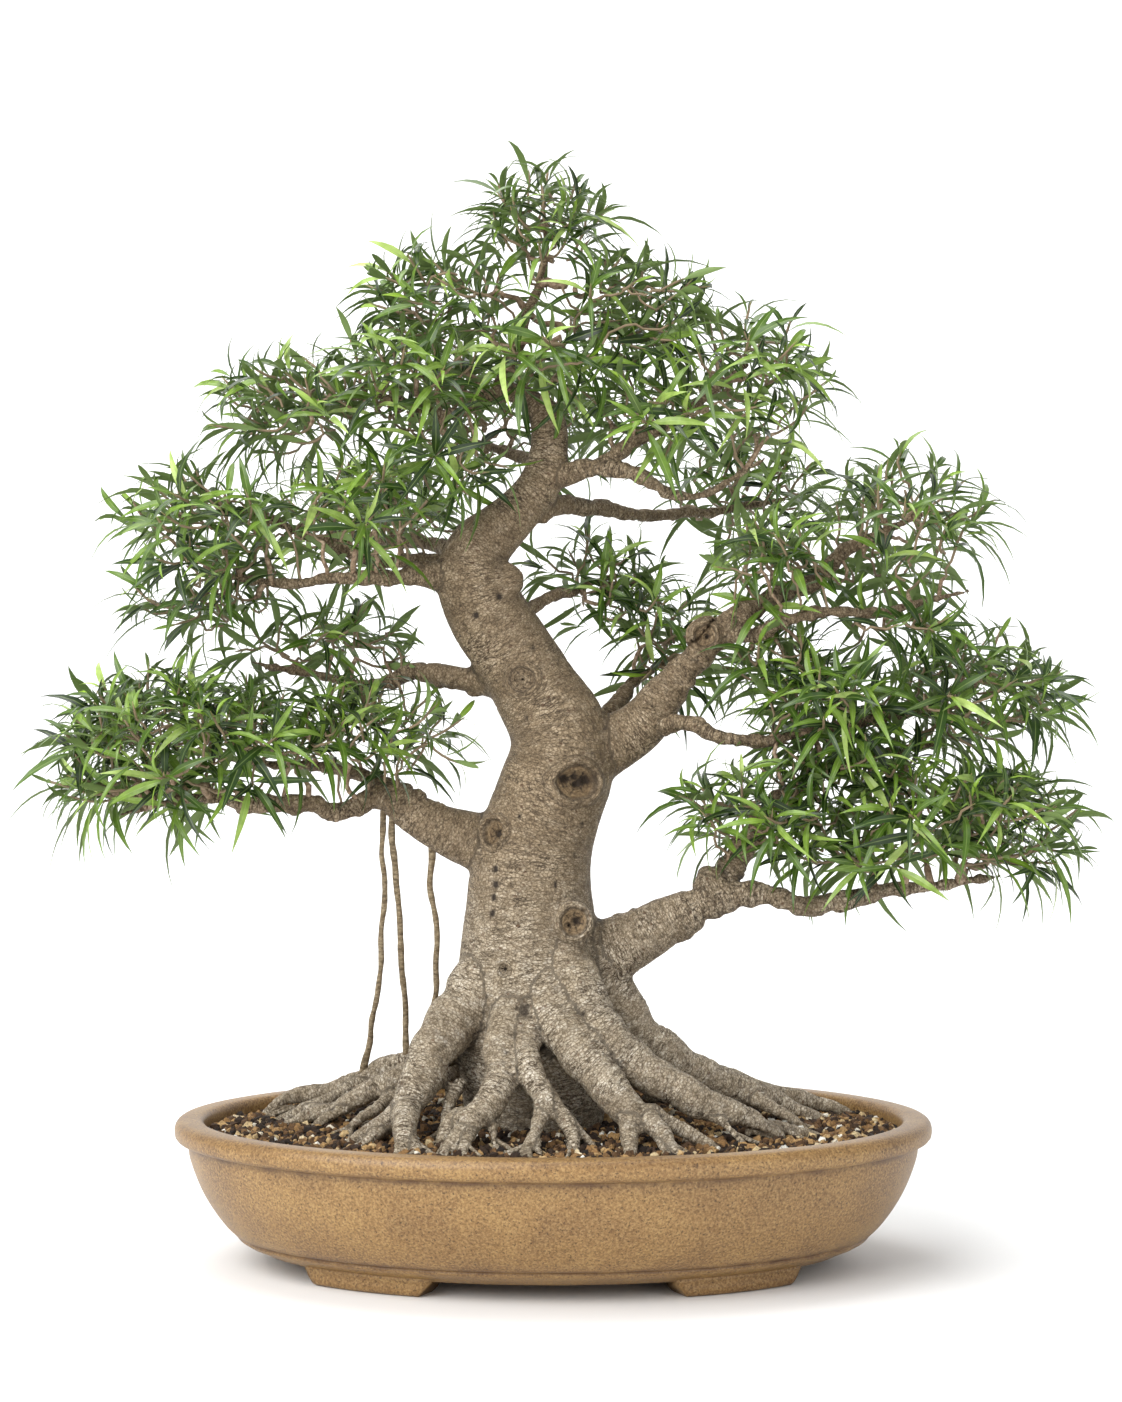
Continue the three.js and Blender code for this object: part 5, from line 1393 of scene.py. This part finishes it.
# What differs from leaf to leaf: each is a random value between two others, with a seed of its own.
LEAF_CHANCES = [("spin", 0, 6.28), ("turn", -0.35, 0.35), ("lean", -0.24, 0.24), ("roll", -0.25, 0.25),
                ("size", 0.72, 1.08), ("blade", 0, len(blades) - 1), ("new", -1.5, 1.0), ("shade", 0, 1)]
dice = {}
for number, (label, low, high) in enumerate(LEAF_CHANCES, 1):
    own = add(group, "ShaderNodeMath", {"operation": "MULTIPLY_ADD"}, {0: given["Seed"], 1: 50, 2: number})
    kind, from_socket, result = ("INT", 4, 2) if label == "blade" else ("FLOAT", 2, 1)
    die = add(group, "FunctionNodeRandomValue", {"data_type": kind},
              {from_socket: low, from_socket + 1: high, "Seed": own.outputs[0]})
    dice[label] = die.outputs[result]

# Each shoot becomes a few leaves, one below the other down its stem and a golden angle apart round it. The
# lower a leaf, the wider it opens. The top one or two are new, so they are short and may be yellow-green.
GOLDEN_ANGLE = 2.39996
TOP_LEAN, LOW_LEAN = math.radians(14), math.radians(58)
spin = add(group, "GeometryNodeStoreNamedAttribute", {"data_type": "FLOAT", "domain": "POINT"},
           {"Geometry": given["Geometry"], "Name": "spin", "Value": dice["spin"]})
number_on = add(group, "FunctionNodeRandomValue", {"data_type": "INT"}, {4: -2, 5: 2, "Seed": given["Seed"]})
amount = add(group, "ShaderNodeMath", {"operation": "ADD"}, {0: given["Leaves"], 1: number_on.outputs[2]})
each = add(group, "GeometryNodeDuplicateElements", {"domain": "POINT"},
           {"Geometry": spin.outputs[0], "Amount": amount.outputs[0]})
rank = each.outputs["Duplicate Index"]
aim = add(group, "GeometryNodeInputNamedAttribute", {"data_type": "FLOAT_VECTOR"}, {"Name": "aim"}).outputs[0]
spun = add(group, "GeometryNodeInputNamedAttribute", {"data_type": "FLOAT"}, {"Name": "spin"}).outputs[0]
start = add(group, "ShaderNodeMath", {"operation": "ADD"}, {0: spun, 1: dice["turn"]})
around = add(group, "ShaderNodeMath", {"operation": "MULTIPLY_ADD"},
             {0: rank, 1: GOLDEN_ANGLE, 2: start.outputs[0]})
opened = add(group, "ShaderNodeMapRange", feeds={0: rank, 1: 0, 2: 6, 3: TOP_LEAN, 4: LOW_LEAN})
tilt = add(group, "ShaderNodeMath", {"operation": "ADD"}, {0: opened.outputs[0], 1: dice["lean"]})
upright = add(group, "FunctionNodeAlignRotationToVector", {"axis": "Z"}, {"Vector": aim})
about_stem = add(group, "ShaderNodeCombineXYZ", feeds={2: around.outputs[0]})
about_own = add(group, "ShaderNodeCombineXYZ", feeds={0: tilt.outputs[0], 2: dice["roll"]})
turned = add(group, "FunctionNodeRotateRotation", {"rotation_space": "LOCAL"},
             {0: upright.outputs[0], 1: about_stem.outputs[0]})
leaning = add(group, "FunctionNodeRotateRotation", {"rotation_space": "LOCAL"},
              {0: turned.outputs[0], 1: about_own.outputs[0]})
from_top = add(group, "ShaderNodeMath", {"operation": "MULTIPLY"}, {0: rank, 1: given["Spacing"]})
down_stem = add(group, "ShaderNodeVectorMath", {"operation": "SCALE"}, {0: aim, "Scale": -1.0})
step_down = add(group, "ShaderNodeVectorMath", {"operation": "SCALE"},
                {0: down_stem.outputs[0], "Scale": from_top.outputs[0]})
spaced = add(group, "GeometryNodeSetPosition",
             feeds={"Geometry": each.outputs[0], "Offset": step_down.outputs[0]})
ageing = add(group, "ShaderNodeMapRange", feeds={0: rank, 1: 0, 2: 2.2, 3: 0.5, 4: 1})
by_age = add(group, "ShaderNodeMath", {"operation": "MULTIPLY"}, {0: given["Length"], 1: ageing.outputs[0]})
length = add(group, "ShaderNodeMath", {"operation": "MULTIPLY"}, {0: by_age.outputs[0], 1: dice["size"]})
shapes = add(group, "GeometryNodeJoinGeometry")
for blade in blades:
    link = add(group, "GeometryNodeObjectInfo", feeds={"Object": blade, "As Instance": True})
    group.links.new(link.outputs["Geometry"], shapes.inputs[0])
leaves = add(group, "GeometryNodeInstanceOnPoints",
             feeds={"Points": spaced.outputs[0], "Instance": shapes.outputs[0], "Pick Instance": True,
                    "Instance Index": dice["blade"], "Rotation": leaning.outputs[0],
                    "Scale": length.outputs[0]})
newness = add(group, "ShaderNodeMapRange", feeds={0: rank, 1: 0, 2: 2.5, 3: 0.75, 4: 0})
new_leaf = add(group, "ShaderNodeMath", {"operation": "MULTIPLY", "use_clamp": True},
               {0: newness.outputs[0], 1: dice["new"]})
marked = add(group, "GeometryNodeStoreNamedAttribute", {"data_type": "FLOAT", "domain": "INSTANCE"},
             {"Geometry": leaves.outputs[0], "Name": "young", "Value": new_leaf.outputs[0]})
toned = add(group, "GeometryNodeStoreNamedAttribute", {"data_type": "FLOAT", "domain": "INSTANCE"},
            {"Geometry": marked.outputs[0], "Name": "shade", "Value": dice["shade"]})
real = add(group, "GeometryNodeRealizeInstances", feeds={0: toned.outputs[0]})
along = add(group, "GeometryNodeInputNamedAttribute", {"data_type": "FLOAT"}, {"Name": "along"}).outputs[0]
squared = add(group, "ShaderNodeMath", {"operation": "MULTIPLY"}, {0: along, 1: along})
fall = add(group, "ShaderNodeMath", {"operation": "MULTIPLY"}, {0: squared.outputs[0], 1: given["Droop"]})
drop = add(group, "ShaderNodeVectorMath", {"operation": "SCALE"}, {0: (0, 0, -1), "Scale": fall.outputs[0]})
hang = add(group, "GeometryNodeSetPosition", feeds={"Geometry": real.outputs[0], "Offset": drop.outputs[0]})
finish = add(group, "GeometryNodeSetMaterial", feeds={0: hang.outputs[0], "Material": given["Material"]})
group.links.new(finish.outputs[0], out.inputs[0])

for seed, (clump, (ends, aims)) in enumerate(shoots.items()):
    carrier = mesh_object("shoots_" + clump, [end * MM for end in ends], [], leaf_face)
    store(carrier, "aim", aims)
    foliage = made_by(group, carrier, "leaves_" + clump, {"Seed": seed + 1, "Material": leaf_face})
    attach(foliage, "root")
    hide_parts("foliage_" + clump)
for blade in blades:
    bpy.data.objects.remove(blade)
